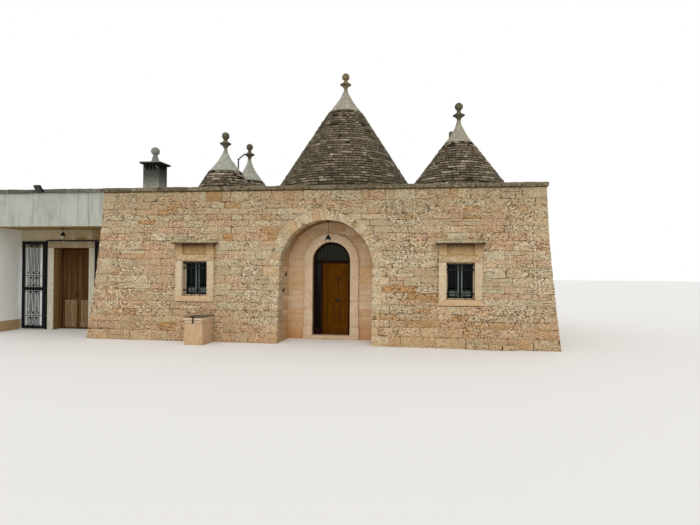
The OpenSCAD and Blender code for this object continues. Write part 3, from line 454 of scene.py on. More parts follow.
# %% Field stone
def field_limestone(name, quarry, crust_power=0.75, pit_power=0.85):
    """Rough limestone of the walls. The powers say how strongly cream crust and dark pits show."""
    material, tree, surface, place = start_material(name)
    tone, pick, shade, age = read_tone(tree)
    colour = add(tree, "ValToRGB", {"Fac": pick}, stops=quarry).outputs[0]
    colour = mottled(tree, colour, "b0a58a", 0.45, place, 1.3, 0.42, 0.66, 4.0)
    long = stretched(tree, place, 1.3, 1.3, 2.2)
    colour = mottled(tree, colour, "bf9062", 0.45, long, 1.0, 0.50, 0.70, 4.0)
    colour = mottled(tree, colour, "b0824a", 0.45, own_pattern(tree, tone, place), 0.22, 0.54, 0.74)
    zones = blotches(tree, place, 0.6, 0.38, 0.60, 2.0)
    rugged = between(tree, zones, 0.40, 1.25)
    cream = blotches(tree, place, 0.056, 0.49, 0.59, 4.0)
    aged = between(tree, age, 0.25, 1.1)
    colour = stained(tree, colour, "e9dcc2", times(tree, cream, rugged, aged, crust_power))
    pits = blotches(tree, stretched(tree, place, 1.0, 1.0, 1.8), 0.050, 0.52, 0.60, 4.0)
    colour = stained(tree, colour, "4a3a25", times(tree, pits, rugged, pit_power))
    height = height_of(tree, place)
    colour = stained(tree, colour, "b98a52", ramp_up(tree, height, 1.0, 0.0, 0.30))
    colour = stained(tree, colour, "94815f", ramp_up(tree, height, WALL_TOP - 1.0, WALL_TOP, 0.40))
    colour = lightened(tree, colour, shade, 0.93, 1.07)
    grain = cloud(tree, place, 0.03, 6.0, 0.65)
    relief = weighed(tree, cream, 0.3, weighed(tree, pits, -0.7, grain))
    finish_surface(tree, surface, colour, relief, 0.012, 0.92, 0.15)
    return material


field_stone = field_limestone(
    "picked_limestone",
    [(0.0, "c5b696"), (0.30, "bfa682"), (0.55, "be9d7c"), (0.72, "c09a76"), (0.86, "b99060"),
     (1.0, "b78a57")])

# The niche's jambs and its ring of voussoirs are of a paler, warmer bed of the same stone.
ring_stone = field_limestone(
    "pale_picked_limestone",
    [(0.0, "cdbc9b"), (0.5, "c8af89"), (1.0, "c39e72")], 0.7, 0.55)

# %% [markdown]
# Between the stones shows lime mortar of nearly the stones' own colour. Where rain has washed it
# out the joint is dark, in dashes along the bed joints. The imported walls wear this material.
# Inside the cones there is only earth and chips, painted nearly black as the shade deep in the gaps between
# slabs.

# %% Mortar and packing
def mortar(name, sandy, dirty, size, coping_shadow_top=None):
    """A dull mortar of two colours in blotches, long in the direction of the courses.

    The last argument is the wall's top: the open joint under the coping is painted all in the
    dirty colour there, as painted shadow of the coping.
    """
    material, tree, surface, place = start_material(name)
    share = blotches(tree, stretched(tree, place, 0.35, 0.35, 1.0), size, 0.38, 0.58, 4.0)
    colour = stained(tree, sandy, dirty, share)
    # The open joint under the coping is painted dark: painted shadow of the coping.
    if coping_shadow_top:
        coping_shadow = ramp_up(tree, height_of(tree, place), coping_shadow_top - 0.03, coping_shadow_top - 0.02)
        colour = stained(tree, colour, dirty, coping_shadow)
    finish_surface(tree, surface, colour, cloud(tree, place, 0.012, 4.0), 0.004, 0.95, 0.1)
    return material


joint_mortar = mortar("lime_mortar", "b59a72", "5a4a33", 0.08, coping_shadow_top=WALL_TOP)
lining_mortar = mortar("lining_mortar", "c6a784", "a98a64", 0.15)
# Nearly black: painted shade in the cones' ring gaps, and painted shadow under the sills and the chimney's
# cap.
packing_painted_shade = mortar("earth_packing_painted_shade", "231d14", "302820", 0.05)
roof_screed = mortar("lime_screed", "a29a88", "857c68", 0.5)
floor_lime = mortar("lime_floor", "b0a48c", "9a8d74", 0.4)
dress(joint_mortar, "front_wall_left", "front_wall_right", "niche_arch_wall", "left_wall", "right_wall",
      "back_wall")
dress(lining_mortar, "door_wall_left", "door_wall_right", "door_wall_arch")
dress(packing_painted_shade, "main_cone", "right_cone", "left_cone", "rear_cone")
dress(roof_screed, "terrace_left", "terrace_middle", "terrace_right")
dress(floor_lime, "floors")
print(len(bpy.data.materials), "materials so far")

# %% [markdown]
# The camera stands where the photograph was taken: eye height on the court, a little right of
# the entrance and turned left. Its place, turn and lens were solved from the house's corners.

# %% Camera
EYE = np.array([2.633, -13.946, 2.026])
YAW_LEFT, PITCH_UP, ROLL = (math.radians(a) for a in (8.085, 0.621, 0.423))
FOCAL_PIXELS, IMAGE_WIDTH = 527.0, 700

ahead = np.array([-math.sin(YAW_LEFT) * math.cos(PITCH_UP), math.cos(YAW_LEFT) * math.cos(PITCH_UP),
                  math.sin(PITCH_UP)])
level = np.array([math.cos(YAW_LEFT), math.sin(YAW_LEFT), 0.0])
upright = np.cross(level, ahead)
lens = bpy.data.cameras.new("camera")
lens.sensor_width = 36.0
lens.lens = FOCAL_PIXELS * lens.sensor_width / IMAGE_WIDTH
camera = bpy.data.objects.new("camera", lens)
turning = np.eye(4)
turning[:3, 0] = math.cos(ROLL) * level + math.sin(ROLL) * upright
turning[:3, 1] = -math.sin(ROLL) * level + math.cos(ROLL) * upright
turning[:3, 2] = -ahead
turning[:3, 3] = EYE + ORIGIN
camera.matrix_world = Matrix(turning.tolist())
bpy.context.scene.collection.objects.link(camera)
bpy.context.scene.camera = camera
print("lens", round(lens.lens, 2), "mm")

# %% [markdown]
# A plain pale floor and soft light from all sides, as in a studio. The sky gives most of the
# light. One wide, low sun from the front reaches into the niche and the porch.

# %% Floor, sky and sun
scene = bpy.context.scene
scene.view_settings.view_transform = "Standard"
FLOOR_HALF = 90.0
corners = [(x * FLOOR_HALF, y * FLOOR_HALF, 0.0) for x, y in ((-1, -1), (1, -1), (1, 1), (-1, 1))]
floor_mesh = bpy.data.meshes.new("studio_floor")
floor_mesh.from_pydata(corners, [], [(0, 1, 2, 3)])
floor = bpy.data.objects.new("studio_floor", floor_mesh)
scene.collection.objects.link(floor)
floor_paint, tree, surface, place = start_material("studio_floor_paint")
surface.inputs["Base Color"].default_value = linear("eeece8")
surface.inputs["Roughness"].default_value = 0.9
floor_mesh.materials.append(floor_paint)

# Seen directly, or in glass, the sky is plain white. As a light it is dimmer.
world = bpy.data.worlds.new("studio_sky")
world.use_nodes = True
scene.world = world
tree = world.node_tree
SKY_LIGHT = 0.82
ray = add(tree, "LightPath").outputs
seen = add(tree, "Math", {0: ray["Is Camera Ray"], 1: ray["Is Glossy Ray"]}, operation="MAXIMUM")
seen = add(tree, "Math", {0: seen.outputs[0], 1: ray["Is Transmission Ray"]}, operation="MAXIMUM")
level_of_sky = add(tree, "MapRange", {"Value": seen.outputs[0], "To Min": SKY_LIGHT, "To Max": 1.0})
tree.links.new(level_of_sky.outputs[0], tree.nodes["Background"].inputs["Strength"])
tree.nodes["Background"].inputs["Color"].default_value = (1.0, 1.0, 1.0, 1.0)

SUN_WIDTH, SUN_FROM_ZENITH, SUN_TURN = (math.radians(a) for a in (50, 60, 3))
sun_lamp = bpy.data.lights.new("soft_sun", "SUN")
sun_lamp.energy = 1.0
sun_lamp.angle = SUN_WIDTH
sun = bpy.data.objects.new("soft_sun", sun_lamp)
sun.rotation_euler = (SUN_FROM_ZENITH, 0.0, SUN_TURN)
scene.collection.objects.link(sun)
print("sky", SKY_LIGHT, "sun", sun_lamp.energy)

# %% [markdown]
# The walls lean back as they rise. A stone is drawn flat, as a length along the wall, a height
# and a depth out of the wall, and a function for each face puts it on the leaning wall.

# %% Faces of the block
def batter(z):
    """How far the wall stands out at a height."""
    return BATTER * (1 - np.clip(z, 0, WALL_TOP) / WALL_TOP) ** BATTER_POWER


def on_front(u, z, h):
    return np.stack([u, -batter(z) - h, np.maximum(z, 0)], axis=1)


def on_back(u, z, h):
    return np.stack([-u, BACK + batter(z) + h, np.maximum(z, 0)], axis=1)


def on_right(u, z, h):
    return np.stack([RIGHT + batter(z) + h, u, np.maximum(z, 0)], axis=1)


def on_left(u, z, h):
    return np.stack([LEFT - batter(z) - h, -u, np.maximum(z, 0)], axis=1)


def split(low, high, size, spread=0.16):
    """Cuts a length into pieces of about one size, each a little different."""
    count = max(1, round((high - low) / size))
    widths = np.array([1 + dice.uniform(-spread, spread) for _ in range(count)])
    return [float(low)] + [float(c) for c in low + (high - low) * np.cumsum(widths) / widths.sum()]


# Courses are about 20 cm high, and meet the sills, the niche's springing and the hoods' tops.
# The last one stops at the open joint under the coping.
COURSE, COURSE_SPREAD, COPING_JOINT = 0.205, 0.34, 0.022
course_stops = [0.0, SURROUND_LOW[2], NICHE_SPRING, HOOD_HIGH[2], WALL_TOP - COPING_JOINT]
course_lines = [0.0]
for foot, head in zip(course_stops, course_stops[1:]):
    course_lines += split(foot, head, COURSE, COURSE_SPREAD)[1:]
COURSES = list(zip(course_lines, course_lines[1:]))
print(len(COURSES), "courses")


def bed(u, line):
    """The height of a bed joint along the wall. A mason's line is never quite straight."""
    if min(abs(line - stop) for stop in course_stops) < 0.001:
        return line
    return line + 0.010 * math.sin(1.9 * u + 40 * line) + 0.006 * math.sin(6.1 * u + 90 * line)


# %% [markdown]
# A field stone has an outline that was picked by hand: four sides, never quite straight, with
# knocked-off corners. Its edge sinks into the mortar and its face bulges and tilts a little.
# Beside an arch, the outline is cut along the ring, so that the joint stays even.

# %% One field stone
# Chips under 40 square centimetres are left out, and every back lies 2 cm deep in the wall.
SMALLEST_STONE, BURIED = 0.004, -0.02


def cut(outline, nu, nz, limit):
    """The part of an outline on the far side of a line, where nu * u + nz * z is above limit."""
    kept = []
    for (u0, z0), (u1, z1) in zip(outline, outline[1:] + outline[:1]):
        d0, d1 = nu * u0 + nz * z0 - limit, nu * u1 + nz * z1 - limit
        if d0 >= 0:
            kept.append((u0, z0))
        if d0 * d1 < 0:
            share = d0 / (d0 - d1)
            kept.append((u0 + (u1 - u0) * share, z0 + (z1 - z0) * share))
    return kept


def shrink(outline, inset):
    """The outline with every side moved in."""
    result = outline
    for (u0, z0), (u1, z1) in zip(outline, outline[1:] + outline[:1]):
        length = math.hypot(u1 - u0, z1 - z0)
        if length > 1e-6 and result:
            nu, nz = -(z1 - z0) / length, (u1 - u0) / length
            result = cut(result, nu, nz, nu * u0 + nz * z0 + inset)
    return result


def outside(outline, centre_z, radius):
    """The part of an outline outside a ring, cut along the ring's tangent."""
    u = sum(p[0] for p in outline) / len(outline)
    z = sum(p[1] for p in outline) / len(outline) - centre_z
    far = math.hypot(u, z)
    return cut(outline, u / far, z / far, radius + centre_z * z / far)


def gap():
    """How far a corner keeps from its joint: mostly a hair, now and then a finger."""
    return dice.uniform(0.005, 0.011) if dice.random() < 0.25 else dice.uniform(0.0, 0.002)


def outlines_between(a, b, foot, head, thin=0.0):
    """The stone between two upright joints, or now and then two thin ones on each other."""
    shares = [0.0, dice.uniform(0.38, 0.62), 1.0] if dice.random() < thin else [0.0, 1.0]
    for low, high in zip(shares, shares[1:]):
        corners = []
        for u, share, side, rise in ((a, low, 1, 1), (b, low, -1, 1), (b, high, -1, -1), (a, high, 1, -1)):
            z = bed(u, foot) + (bed(u, head) - bed(u, foot)) * share
            corners.append((u + side * gap(), z + rise * gap()))
        yield corners


def field_stone_at(pile, outline, place, lift, joint, tone, arris=0.005, ragged=0.006):
    """Lays one stone on a face. Lift is how far it stands out, ragged how far its outline strays."""
    outline = shrink(outline, joint / 2)
    if len(outline) < 3:
        return
    points, count = [], len(outline)
    for i in range(count):
        here, before, after = (np.array(outline[(i + k) % count]) for k in (0, -1, 1))
        to_before, to_after = before - here, after - here
        back, on = np.linalg.norm(to_before), np.linalg.norm(to_after)
        knock = dice.uniform(0.010, 0.030)
        points.append(here + to_before / back * min(knock, 0.3 * back))
        points.append(here + to_after / on * min(knock, 0.3 * on))
        if on > 0.13:
            steps = 2 if on < 0.30 else 4
            points += [here + to_after * k / steps for k in range(1, steps)]
    ring = np.array(points)
    ring += [[dice.uniform(-ragged, ragged), dice.uniform(-ragged, ragged)] for _ in points]
    middle = ring.mean(0)
    size = np.abs(np.cross(ring, np.roll(ring, -1, 0)).sum()) / 2
    if size < SMALLEST_STONE:
        return
    inward = middle - ring
    inner = ring + inward / np.linalg.norm(inward, axis=1, keepdims=True) * arris * 1.3
    lean = np.array([dice.uniform(-0.018, 0.018), dice.uniform(-0.03, 0.03)])
    bulge = dice.uniform(0.0, 0.006)
    face = lift * dice.uniform(0.6, 1.6)
    n = len(ring)
    flat = np.concatenate([ring, ring, inner, [middle]])
    depth = np.concatenate([np.full(n, BURIED), face - arris + (ring - middle) @ lean * 0.5,
                            face + (inner - middle) @ lean, [face + bulge]])
    depth[n:] = np.maximum(depth[n:], 0.001)
    faces = [tuple(range(n - 1, -1, -1))]
    for i in range(n):
        j = (i + 1) % n
        faces += [(i, j, n + j, n + i), (n + i, n + j, 2 * n + j, 2 * n + i), (2 * n + i, 2 * n + j, 3 * n)]
    pile.lay(place(flat[:, 0], flat[:, 1], depth), faces, tone)


# %% [markdown]
# The wall's colour drifts: pale, crusted stone in some places and single ochre or reddish stones
# in others, as on the photographed front. Their places are given one by one, in metres.

# %% Pale zones and ochre stones of the front
# Each zone is along the wall, height, half length, half height, and how strongly it shows.
PALE_ZONES = [(-5.7, 1.5, 0.8, 0.7, 0.9), (-1.9, 1.6, 0.6, 0.8, 0.6), (1.65, 2.2, 0.5, 0.5, 0.9),
              (4.9, 2.0, 0.9, 0.6, 1.0), (-3.3, 2.95, 0.8, 0.3, 0.5), (0.0, 3.9, 0.8, 0.3, 0.4)]
WARM_ZONES = [(2.6, 0.8, 1.2, 0.5, 0.35), (4.3, 0.6, 1.2, 0.4, 0.45), (-4.4, 0.5, 1.2, 0.4, 0.20),
              (-4.8, 1.5, 0.6, 0.4, 0.6), (-1.8, 3.1, 0.7, 0.4, 0.25), (2.6, 1.35, 0.5, 0.2, 0.3)]
OCHRE_HALF_LENGTH, OCHRE_HALF_HEIGHT = 0.21, 0.11
OCHRE_STONES = [(-4.44, 3.68), (-5.33, 3.35), (-1.55, 2.97), (-2.64, 2.89), (-5.52, 0.82), (-2.57, 3.83),
                (-4.55, 0.39), (-3.26, 3.92), (-1.83, 3.40), (3.84, 3.58), (2.27, 3.35), (4.16, 3.29),
                (2.38, 1.38), (2.81, 1.24), (1.63, 1.49), (1.80, 0.74), (3.67, 0.82), (4.68, 0.75),
                (2.54, 0.66)]


def strength(zones, u, z):
    """How strongly the zones show at a place."""
    return sum(power * math.exp(-((u - pu) / ru) ** 2 - ((z - pz) / rz) ** 2)
               for pu, pz, ru, rz, power in zones)


def held(value):
    """The value, held between 0 and 1."""
    return min(max(value, 0.0), 1.0)


def wall_tone(u, z, front=True):
    """The tone of a field stone whose middle is at a place."""
    pale, warm = (strength(PALE_ZONES, u, z), strength(WARM_ZONES, u, z)) if front else (0.35, 0.1)
    pick = 0.84 * dice.betavariate(1.6, 2.2) + 0.35 * warm - 0.15 * pale
    ochre = any(abs(u - pu) < OCHRE_HALF_LENGTH and abs(z - pz) < OCHRE_HALF_HEIGHT
                for pu, pz in OCHRE_STONES)
    if front and ochre:
        return (dice.uniform(0.9, 1.0), dice.random(), 0.0)
    return (held(pick), dice.random(), held(dice.uniform(0.1, 0.6) + 0.5 * pale))


# %% [markdown]
# Corners are built first, from long and short quoins in turn. Each quoin is one worn block that
# shows on both faces, so the corner reads as solid stone from either side.

# %% Quoins at the four corners and at the niche
LONG, SHORT = 0.52, 0.30
JOINT, LIFT, QUOIN_PROUD = 0.004, 0.007, 0.002
quoin_reach = {}
corner_pile = Pile()
for corner_x, corner_y in ((LEFT, 0.0), (RIGHT, 0.0), (LEFT, BACK), (RIGHT, BACK)):
    side_x, side_y = math.copysign(1, corner_x), 1 if corner_y else -1
    for course, (foot, head) in enumerate(COURSES):
        along, deep = (LONG, SHORT) if course % 2 else (SHORT, LONG)
        along, deep = along + dice.uniform(-0.07, 0.07), deep + dice.uniform(-0.07, 0.07)
        quoin_reach[corner_x, corner_y, course] = (along, deep)

        def place_quoin(a, b, z):
            """A is inward along the front or back, b along the side, both from the corner."""
            out = batter(z) + LIFT + QUOIN_PROUD
            return np.stack([corner_x + side_x * (out * (1 - a / along) - a),
                             corner_y + side_y * (out * (1 - b / deep) - b), z], axis=1)

        tone = wall_tone(corner_x * 0.97, (foot + head) / 2, corner_y == 0.0)
        block(corner_pile, (0, 0, foot + gap()), (along - gap(), deep - gap(), head - gap()),
              place_quoin, arris=0.009, cells=(3, 3, 2), wear=0.004, skew=0.003, tone=tone)
set_piece("corner_quoins", corner_pile, field_stone)

VAULT_PROUD = 0.006
jamb_reach = []
jamb_pile = Pile()
for course, (foot, head) in enumerate(COURSES):
    if head > NICHE_SPRING + 0.01:
        break
    jamb_reach.append({})
    for side in (-1, 1):
        along, deep = (LONG, SHORT) if (course + (side > 0)) % 2 else (SHORT, LONG)
        along, deep = along - dice.uniform(0.02, 0.14), deep - dice.uniform(0.0, 0.08)
        jamb_reach[course][side] = (along, deep)

        def place_jamb(a, b, z):
            """A is outward from the niche's edge, b goes into the niche."""
            out = batter(z) + LIFT + QUOIN_PROUD
            return np.stack([side * (NICHE_R - VAULT_PROUD + a), b - out * (1 - b / deep), z], axis=1)

        block(jamb_pile, (0, 0, foot + gap()), (along - gap(), deep - 0.002, head - gap()),
              place_jamb, arris=0.008, cells=(3, 3, 2), wear=0.0035, skew=0.002,
              tone=(dice.uniform(0, 0.5) + (0.4 if side < 0 else 0.0), dice.random(), dice.uniform(0.4, 1.0)))
set_piece("niche_jambs", jamb_pile, ring_stone)

# %% [markdown]
# Then each face is filled course by course. Upright joints must not stand over each other, so a
# few divisions of each row are tried and the one that breaks joint best is laid.

# %% Field stones of the four faces
FIELD = {"size": 0.48, "lift": LIFT, "joint": JOINT, "thin": 0.14}
SURROUND_HALF = WINDOW_W / 2 + WINDOW_JAMB
RING_CLEAR = 0.22


def without(low, high, gaps):
    """The stretches of a row that the gaps leave."""
    stretches = [(low, high)]
    for from_u, to_u in gaps:
        stretches = [piece for a, b in stretches for piece in ((a, min(b, from_u)), (max(a, to_u), b))
                     if piece[1] - piece[0] > 0.07]
    return stretches


def lay_rows(pile, place, rows, tone_at, size, lift, joint, trim=None, thin=0.0, spread=0.38, **stone):
    """Fills rows of (foot, head, stretches) with stones that break joint with the row below.

    Thin is the share of stones that are two thin ones on each other. Trim cuts their outlines.
    """
    below = []
    for foot, head, stretches in rows:
        joints = []
        for low, high in stretches:
            tries = [split(low, high, size * dice.uniform(0.75, 1.3), spread) for _ in range(7)]
            best = max(tries, key=lambda t: min([abs(a - b) for a in t[1:-1] for b in below] + [0.09]))
            joints += best[1:-1]
            for a, b in zip(best, best[1:]):
                for outline in outlines_between(a, b, foot, head, thin):
                    tone = tone_at((a + b) / 2, (outline[0][1] + outline[2][1]) / 2)
                    if trim:
                        outline = trim(outline)
                    if len(outline) > 2:
                        field_stone_at(pile, outline, place, lift, joint, tone, **stone)
        below = joints


def ring_reach(turn):
    """How far the voussoirs reach out from the niche's arch. The ring's back is uneven."""
    return 0.275 + 0.035 * math.sin(3.1 * turn + 1) + 0.02 * math.sin(8.3 * turn)


def front_rows():
    """Stretches of the front beside the windows, the niche and its ring."""
    for course, (foot, head) in enumerate(COURSES):
        gaps = []
        if head > SURROUND_LOW[2] + 0.01 and foot < HOOD_HIGH[2] - 0.01:
            gaps += [(x - SURROUND_HALF + 0.01, x + SURROUND_HALF - 0.01) for x in WINDOW_X]
        if course < len(jamb_reach):
            reach = jamb_reach[course]
            gaps.append((-NICHE_R - reach[-1][0], NICHE_R + reach[1][0]))
        elif head - NICHE_SPRING < NICHE_R + RING_CLEAR:
            half = math.sqrt((NICHE_R + RING_CLEAR) ** 2 - (head - NICHE_SPRING) ** 2)
            gaps.append((-half, half))
        yield foot, head, without(LEFT + quoin_reach[LEFT, 0.0, course][0],
                                  RIGHT - quoin_reach[RIGHT, 0.0, course][0], gaps)


def beside_ring(outline):
    """Keeps front stones outside the arch ring."""
    if min(p[1] for p in outline) < NICHE_SPRING - 0.02:
        return outline
    u, z = np.mean(outline, axis=0)
    return outside(outline, NICHE_SPRING, NICHE_R + ring_reach(math.atan2(z - NICHE_SPRING, u)) - 0.006)


front_pile = Pile()
lay_rows(front_pile, on_front, front_rows(), wall_tone, trim=beside_ring, spread=0.55, **FIELD)
set_piece("front_stones", front_pile, field_stone)


def hidden_tone(u, z):
    """The tone of a stone on a wall whose colour doesn't drift."""
    return wall_tone(u, z, False)


WING_DEPTH = WING_HIGH[1]
WING_ROOF_Z = span("wing_roof")[1][2]


def side_rows(corner_x, direction):
    """Stretches of a side wall. The left side shows only in the porch, over and behind the wing."""
    for course, (foot, head) in enumerate(COURSES):
        near_end = quoin_reach[corner_x, 0.0, course][1]
        far_end = BACK - quoin_reach[corner_x, BACK, course][1]
        stretches = [(near_end, far_end)]
        if corner_x == LEFT and head < WING_ROOF_Z:
            stretches = without(near_end, far_end, [(PORCH_DEPTH, WING_DEPTH)])
        if direction < 0:
            stretches = [(-b, -a) for a, b in stretches]
        yield foot, head, stretches


for name, place, corner_x, direction in (("left_stones", on_left, LEFT, -1),
                                         ("right_stones", on_right, RIGHT, 1)):
    side_pile = Pile()
    lay_rows(side_pile, place, side_rows(corner_x, direction), hidden_tone, spread=0.45, **FIELD)
    set_piece(name, side_pile, field_stone)

back_pile = Pile()
back_rows = []
for course, (foot, head) in enumerate(COURSES):
    from_u = -RIGHT + quoin_reach[RIGHT, BACK, course][0]
    back_rows.append((foot, head, [(from_u, -LEFT - quoin_reach[LEFT, BACK, course][0])]))
lay_rows(back_pile, on_back, back_rows, hidden_tone, spread=0.45, **FIELD)
set_piece("back_stones", back_pile, field_stone)

# %% [markdown]
# The niche's arch is a ring of pale voussoirs, each a block bent between two radii. They reach
# into the vault by turns more and less. Behind them, the vault, the jambs and the back of the
# niche are lined with rubbed stones whose joints are as fine as a pencil line.

# %% Niche: ring, vault and lining
VOUSSOIRS = 20
ring_cuts = split(0.0, math.pi * NICHE_R, math.pi * NICHE_R / VOUSSOIRS, 0.25)
ring_pile, lining_pile, vault_pile = Pile(), Pile(), Pile()


def round_arch(radius, spring, s, out):
    """The x and z of a place that is s along an arch from its right foot, and out from its curve."""
    return (radius + out) * np.cos(s / radius), spring + (radius + out) * np.sin(s / radius)


def on_vault(u, s, h):
    """U goes back into the niche, s along its arch, h in from the vault."""
    x, z = round_arch(NICHE_R, NICHE_SPRING, s, -h)
    return np.stack([x, u, z], axis=1)


def lining_tone(u, z):
    """The tone of a lining stone, which doesn't depend on its place."""
    return (dice.random(), dice.random(), dice.random())


FINE = {"lift": 0.003, "arris": 0.0015, "ragged": 0.0008}
ARCH_JOINT = 0.0015
for number, (start, end) in enumerate(zip(ring_cuts, ring_cuts[1:])):
    depth = 0.32 if number % 2 else 0.42
    reach = ring_reach((start + end) / 2 / NICHE_R) - dice.uniform(0.0, 0.012)

    def place_voussoir(r, s, b):
        x, z = round_arch(NICHE_R, NICHE_SPRING, s, r)
        return np.stack([x, b - (batter(z) + LIFT) * (1 - b / depth), z], axis=1)

    block(ring_pile, (-VAULT_PROUD, start + ARCH_JOINT, 0), (reach, end - ARCH_JOINT, depth - 0.003),
          place_voussoir, cells=(3, 3, 2), wear=0.004, skew=0.002,
          tone=(dice.random(), dice.random(), dice.uniform(0.4, 1.0)))
    cuts = split(depth, NICHE_DEPTH, 0.33, 0.2)
    for a, b in zip(cuts, cuts[1:]):
        outline = [(a, start), (b, start), (b, end), (a, end)]
        tone = lining_tone(a, start)
        field_stone_at(vault_pile, outline, on_vault, joint=ARCH_JOINT, tone=tone, **FINE)
set_piece("niche_ring", ring_pile, ring_stone)
set_piece("niche_vault", vault_pile, vault_stone)


def on_niche_left(u, z, h):
    return np.stack([-NICHE_R + h, u, np.maximum(z, 0)], axis=1)


def on_niche_right(u, z, h):
    return np.stack([NICHE_R - h, -u, np.maximum(z, 0)], axis=1)


def on_niche_back(u, z, h):
    return np.stack([u, NICHE_DEPTH - h, np.maximum(z, 0)], axis=1)


for side, place in ((-1, on_niche_left), (1, on_niche_right)):
    rows = [(foot, head, [(reach[side][1], NICHE_DEPTH) if side < 0 else (-NICHE_DEPTH, -reach[side][1])])
            for (foot, head), reach in zip(COURSES, jamb_reach)]
    lay_rows(lining_pile, place, rows, lining_tone, 0.5, joint=0.001, **FINE)

SURROUND_R = span("door_surround")[1][0]
ARCH_BACK_R = 0.70
back_rows = []
for foot, head in COURSES:
    if foot < NICHE_SPRING + NICHE_R - 0.03:
        rise = max(0.0, foot - NICHE_SPRING)
        half = math.sqrt(NICHE_R ** 2 - rise ** 2)
        inner = SURROUND_R - 0.05 if head < DOOR_SPRING + 0.05 else 0.0
        inner = inner or math.sqrt(max(0.0, ARCH_BACK_R ** 2 - (head - DOOR_SPRING) ** 2))
        stretches = without(-half, half, [(-inner, inner)] if inner > 0.02 else [])
        back_rows.append((foot, head, stretches))


def beside_archivolt(outline):
    """Keeps lining stones outside the arch over the door."""
    if min(p[1] for p in outline) < DOOR_SPRING - 0.1:
        return outline
    return outside(outline, DOOR_SPRING, ARCH_BACK_R)


lay_rows(lining_pile, on_niche_back, back_rows, lining_tone, 0.6, joint=0.001, trim=beside_archivolt, **FINE)
set_piece("niche_lining", lining_pile, lining_stone)

# %% [markdown]
# Each cone is laid dry from thin limestone slabs, ring over ring, each ring a little smaller.
# Real slabs are split, not sawn, so each differs in length and reach. They are single blocks
# bent round the cone and their faces lean with it. The dark gaps between rings are part real
# shadow and part the packing behind, painted nearly black as shade.

# %% Slabs of the cones
DRUM_H = 0.55
SLAB, SLAB_IN, HALF_GAP = 0.23, 0.13, 0.004
COURSE_H = 0.086
CAP_FOOT_R = {"main_cone": 0.568, "right_cone": 0.447, "left_cone": 0.530, "rear_cone": 0.520}
PALE_SHARE = {"main_cone": 0.14, "right_cone": 0.24, "left_cone": 0.35, "rear_cone": 0.8}
cones = {}
for node, cap_r in CAP_FOOT_R.items():
    low, high = span(node)
    centre, radius = (low + high) / 2, (high[0] - low[0]) / 2
    slope_foot = low[2] + DRUM_H
    count = round((high[2] - slope_foot) / COURSE_H)
    rise = (high[2] - slope_foot) / count
    step = (radius - cap_r) / count
    drum_rows = round(DRUM_H / COURSE_H)
    rows = [(low[2] + DRUM_H / drum_rows * i, DRUM_H / drum_rows, radius, 0.0) for i in range(drum_rows)]
    rows += [(slope_foot + rise * i, rise, radius - step * i, 0.55 * step) for i in range(count)]
    cones[node] = (centre, high[2], cap_r)
    slabs = Pile()
    for foot, height, ring_r, lean in rows:
        turn_by = dice.uniform(0, 6)

        def on_ring(r, s, z):
            turn = s / ring_r + turn_by
            out = r - lean * (z - foot) / height
            return np.stack([centre[0] + out * np.cos(turn), centre[1] + out * np.sin(turn), z], axis=1)

        cuts = split(0.0, 2 * math.pi * ring_r, SLAB * dice.uniform(0.85, 1.15), 0.45)
        for a, b in zip(cuts, cuts[1:]):
            reach = ring_r + dice.triangular(0.002, 0.020, 0.008)
            top = foot + height - dice.uniform(0.021, 0.030)
            pale = dice.random() < PALE_SHARE[node]
            shade = dice.uniform(0.0, 0.8) if node == "main_cone" else dice.uniform(0.4, 1.0)
            tone = (dice.uniform(0.85, 1.0) if pale else dice.uniform(0.0, 0.86), shade, dice.random())
            block(slabs, (ring_r - SLAB_IN, a + HALF_GAP, foot + dice.uniform(0, 0.004)),
                  (reach, b - HALF_GAP, top), on_ring, arris=0.008, wear=0.004, skew=0.004, tone=tone)
    set_piece(node + "_slabs", slabs, slab_stone)

# %% [markdown]
# The tips are capped with lime mortar, trowelled into a cone with hollow flanks. Rain has run
# down it in upright streaks, which are a cloud pulled long in height. The big cap and the right
# one are a warm grey, and the left ones are cooler and paler.

# %% Caps
def trowelled_lime(name):
    """Smooth lime mortar. Here the tone says how clean it is, and how near to the cap's tip."""
    material, tree, surface, place = start_material(name)
    tone, clean, shade, high_share = read_tone(tree)
    colour = stained(tree, "978d7a", "a4a698", clean)
    tall = stretched(tree, place, 1.0, 1.0, 0.10)
    colour = mottled(tree, colour, "7f7767", 0.7, tall, 0.07, 0.46, 0.68)
    colour = mottled(tree, colour, "bdb7a6", 0.6, tall, 0.11, 0.50, 0.70)
    colour = stained(tree, colour, "6d6a5c", ramp_up(tree, high_share, 0.80, 1.0, 0.5))
    finish_surface(tree, surface, colour, cloud(tree, place, 0.03, 5.0), 0.005, 0.85, 0.2)
    return material


cap_lime = trowelled_lime("trowelled_lime_cap")
NECK_R = 0.06
HOLLOW = {"main_cone": 1.40, "right_cone": 1.45, "left_cone": 1.55, "rear_cone": 1.55}
CAP_RINGS = 22
CAP_H = {"main_cone": 0.835, "right_cone": 0.74, "left_cone": 0.79, "rear_cone": 0.85}
cap_pile = Pile()
for node, (centre, foot, cap_r) in cones.items():
    smooth_white = 0.95 if node in ("left_cone", "rear_cone") else 0.2
    shares = np.linspace(0, 1, CAP_RINGS)
    profile = [(cap_r * 0.93, foot - 0.03), (cap_r + 0.004, foot - 0.012)]
    profile += [(NECK_R + (cap_r + 0.01 - NECK_R) * (1 - t) ** HOLLOW[node], foot + CAP_H[node] * t)
                for t in shares]
    tones = [(smooth_white, 0.5, 0.0)] * 2 + [(smooth_white, 0.5, t) for t in shares]
    turned(cap_pile, profile, (centre[0], centre[1], 0), 56, wear=0.006, size=0.18, tones=tones)
set_piece("lime_caps", cap_pile, cap_lime, ["cone_caps"], crease=60)

# %% [markdown]
# Each finial is carved from one stone: a neck that flares to a sharp disc, a short collar and a
# ball. Centuries of lichen make it dark and knobbly, so the turned form is roughened. The one
# on the big cone has stayed ochre.

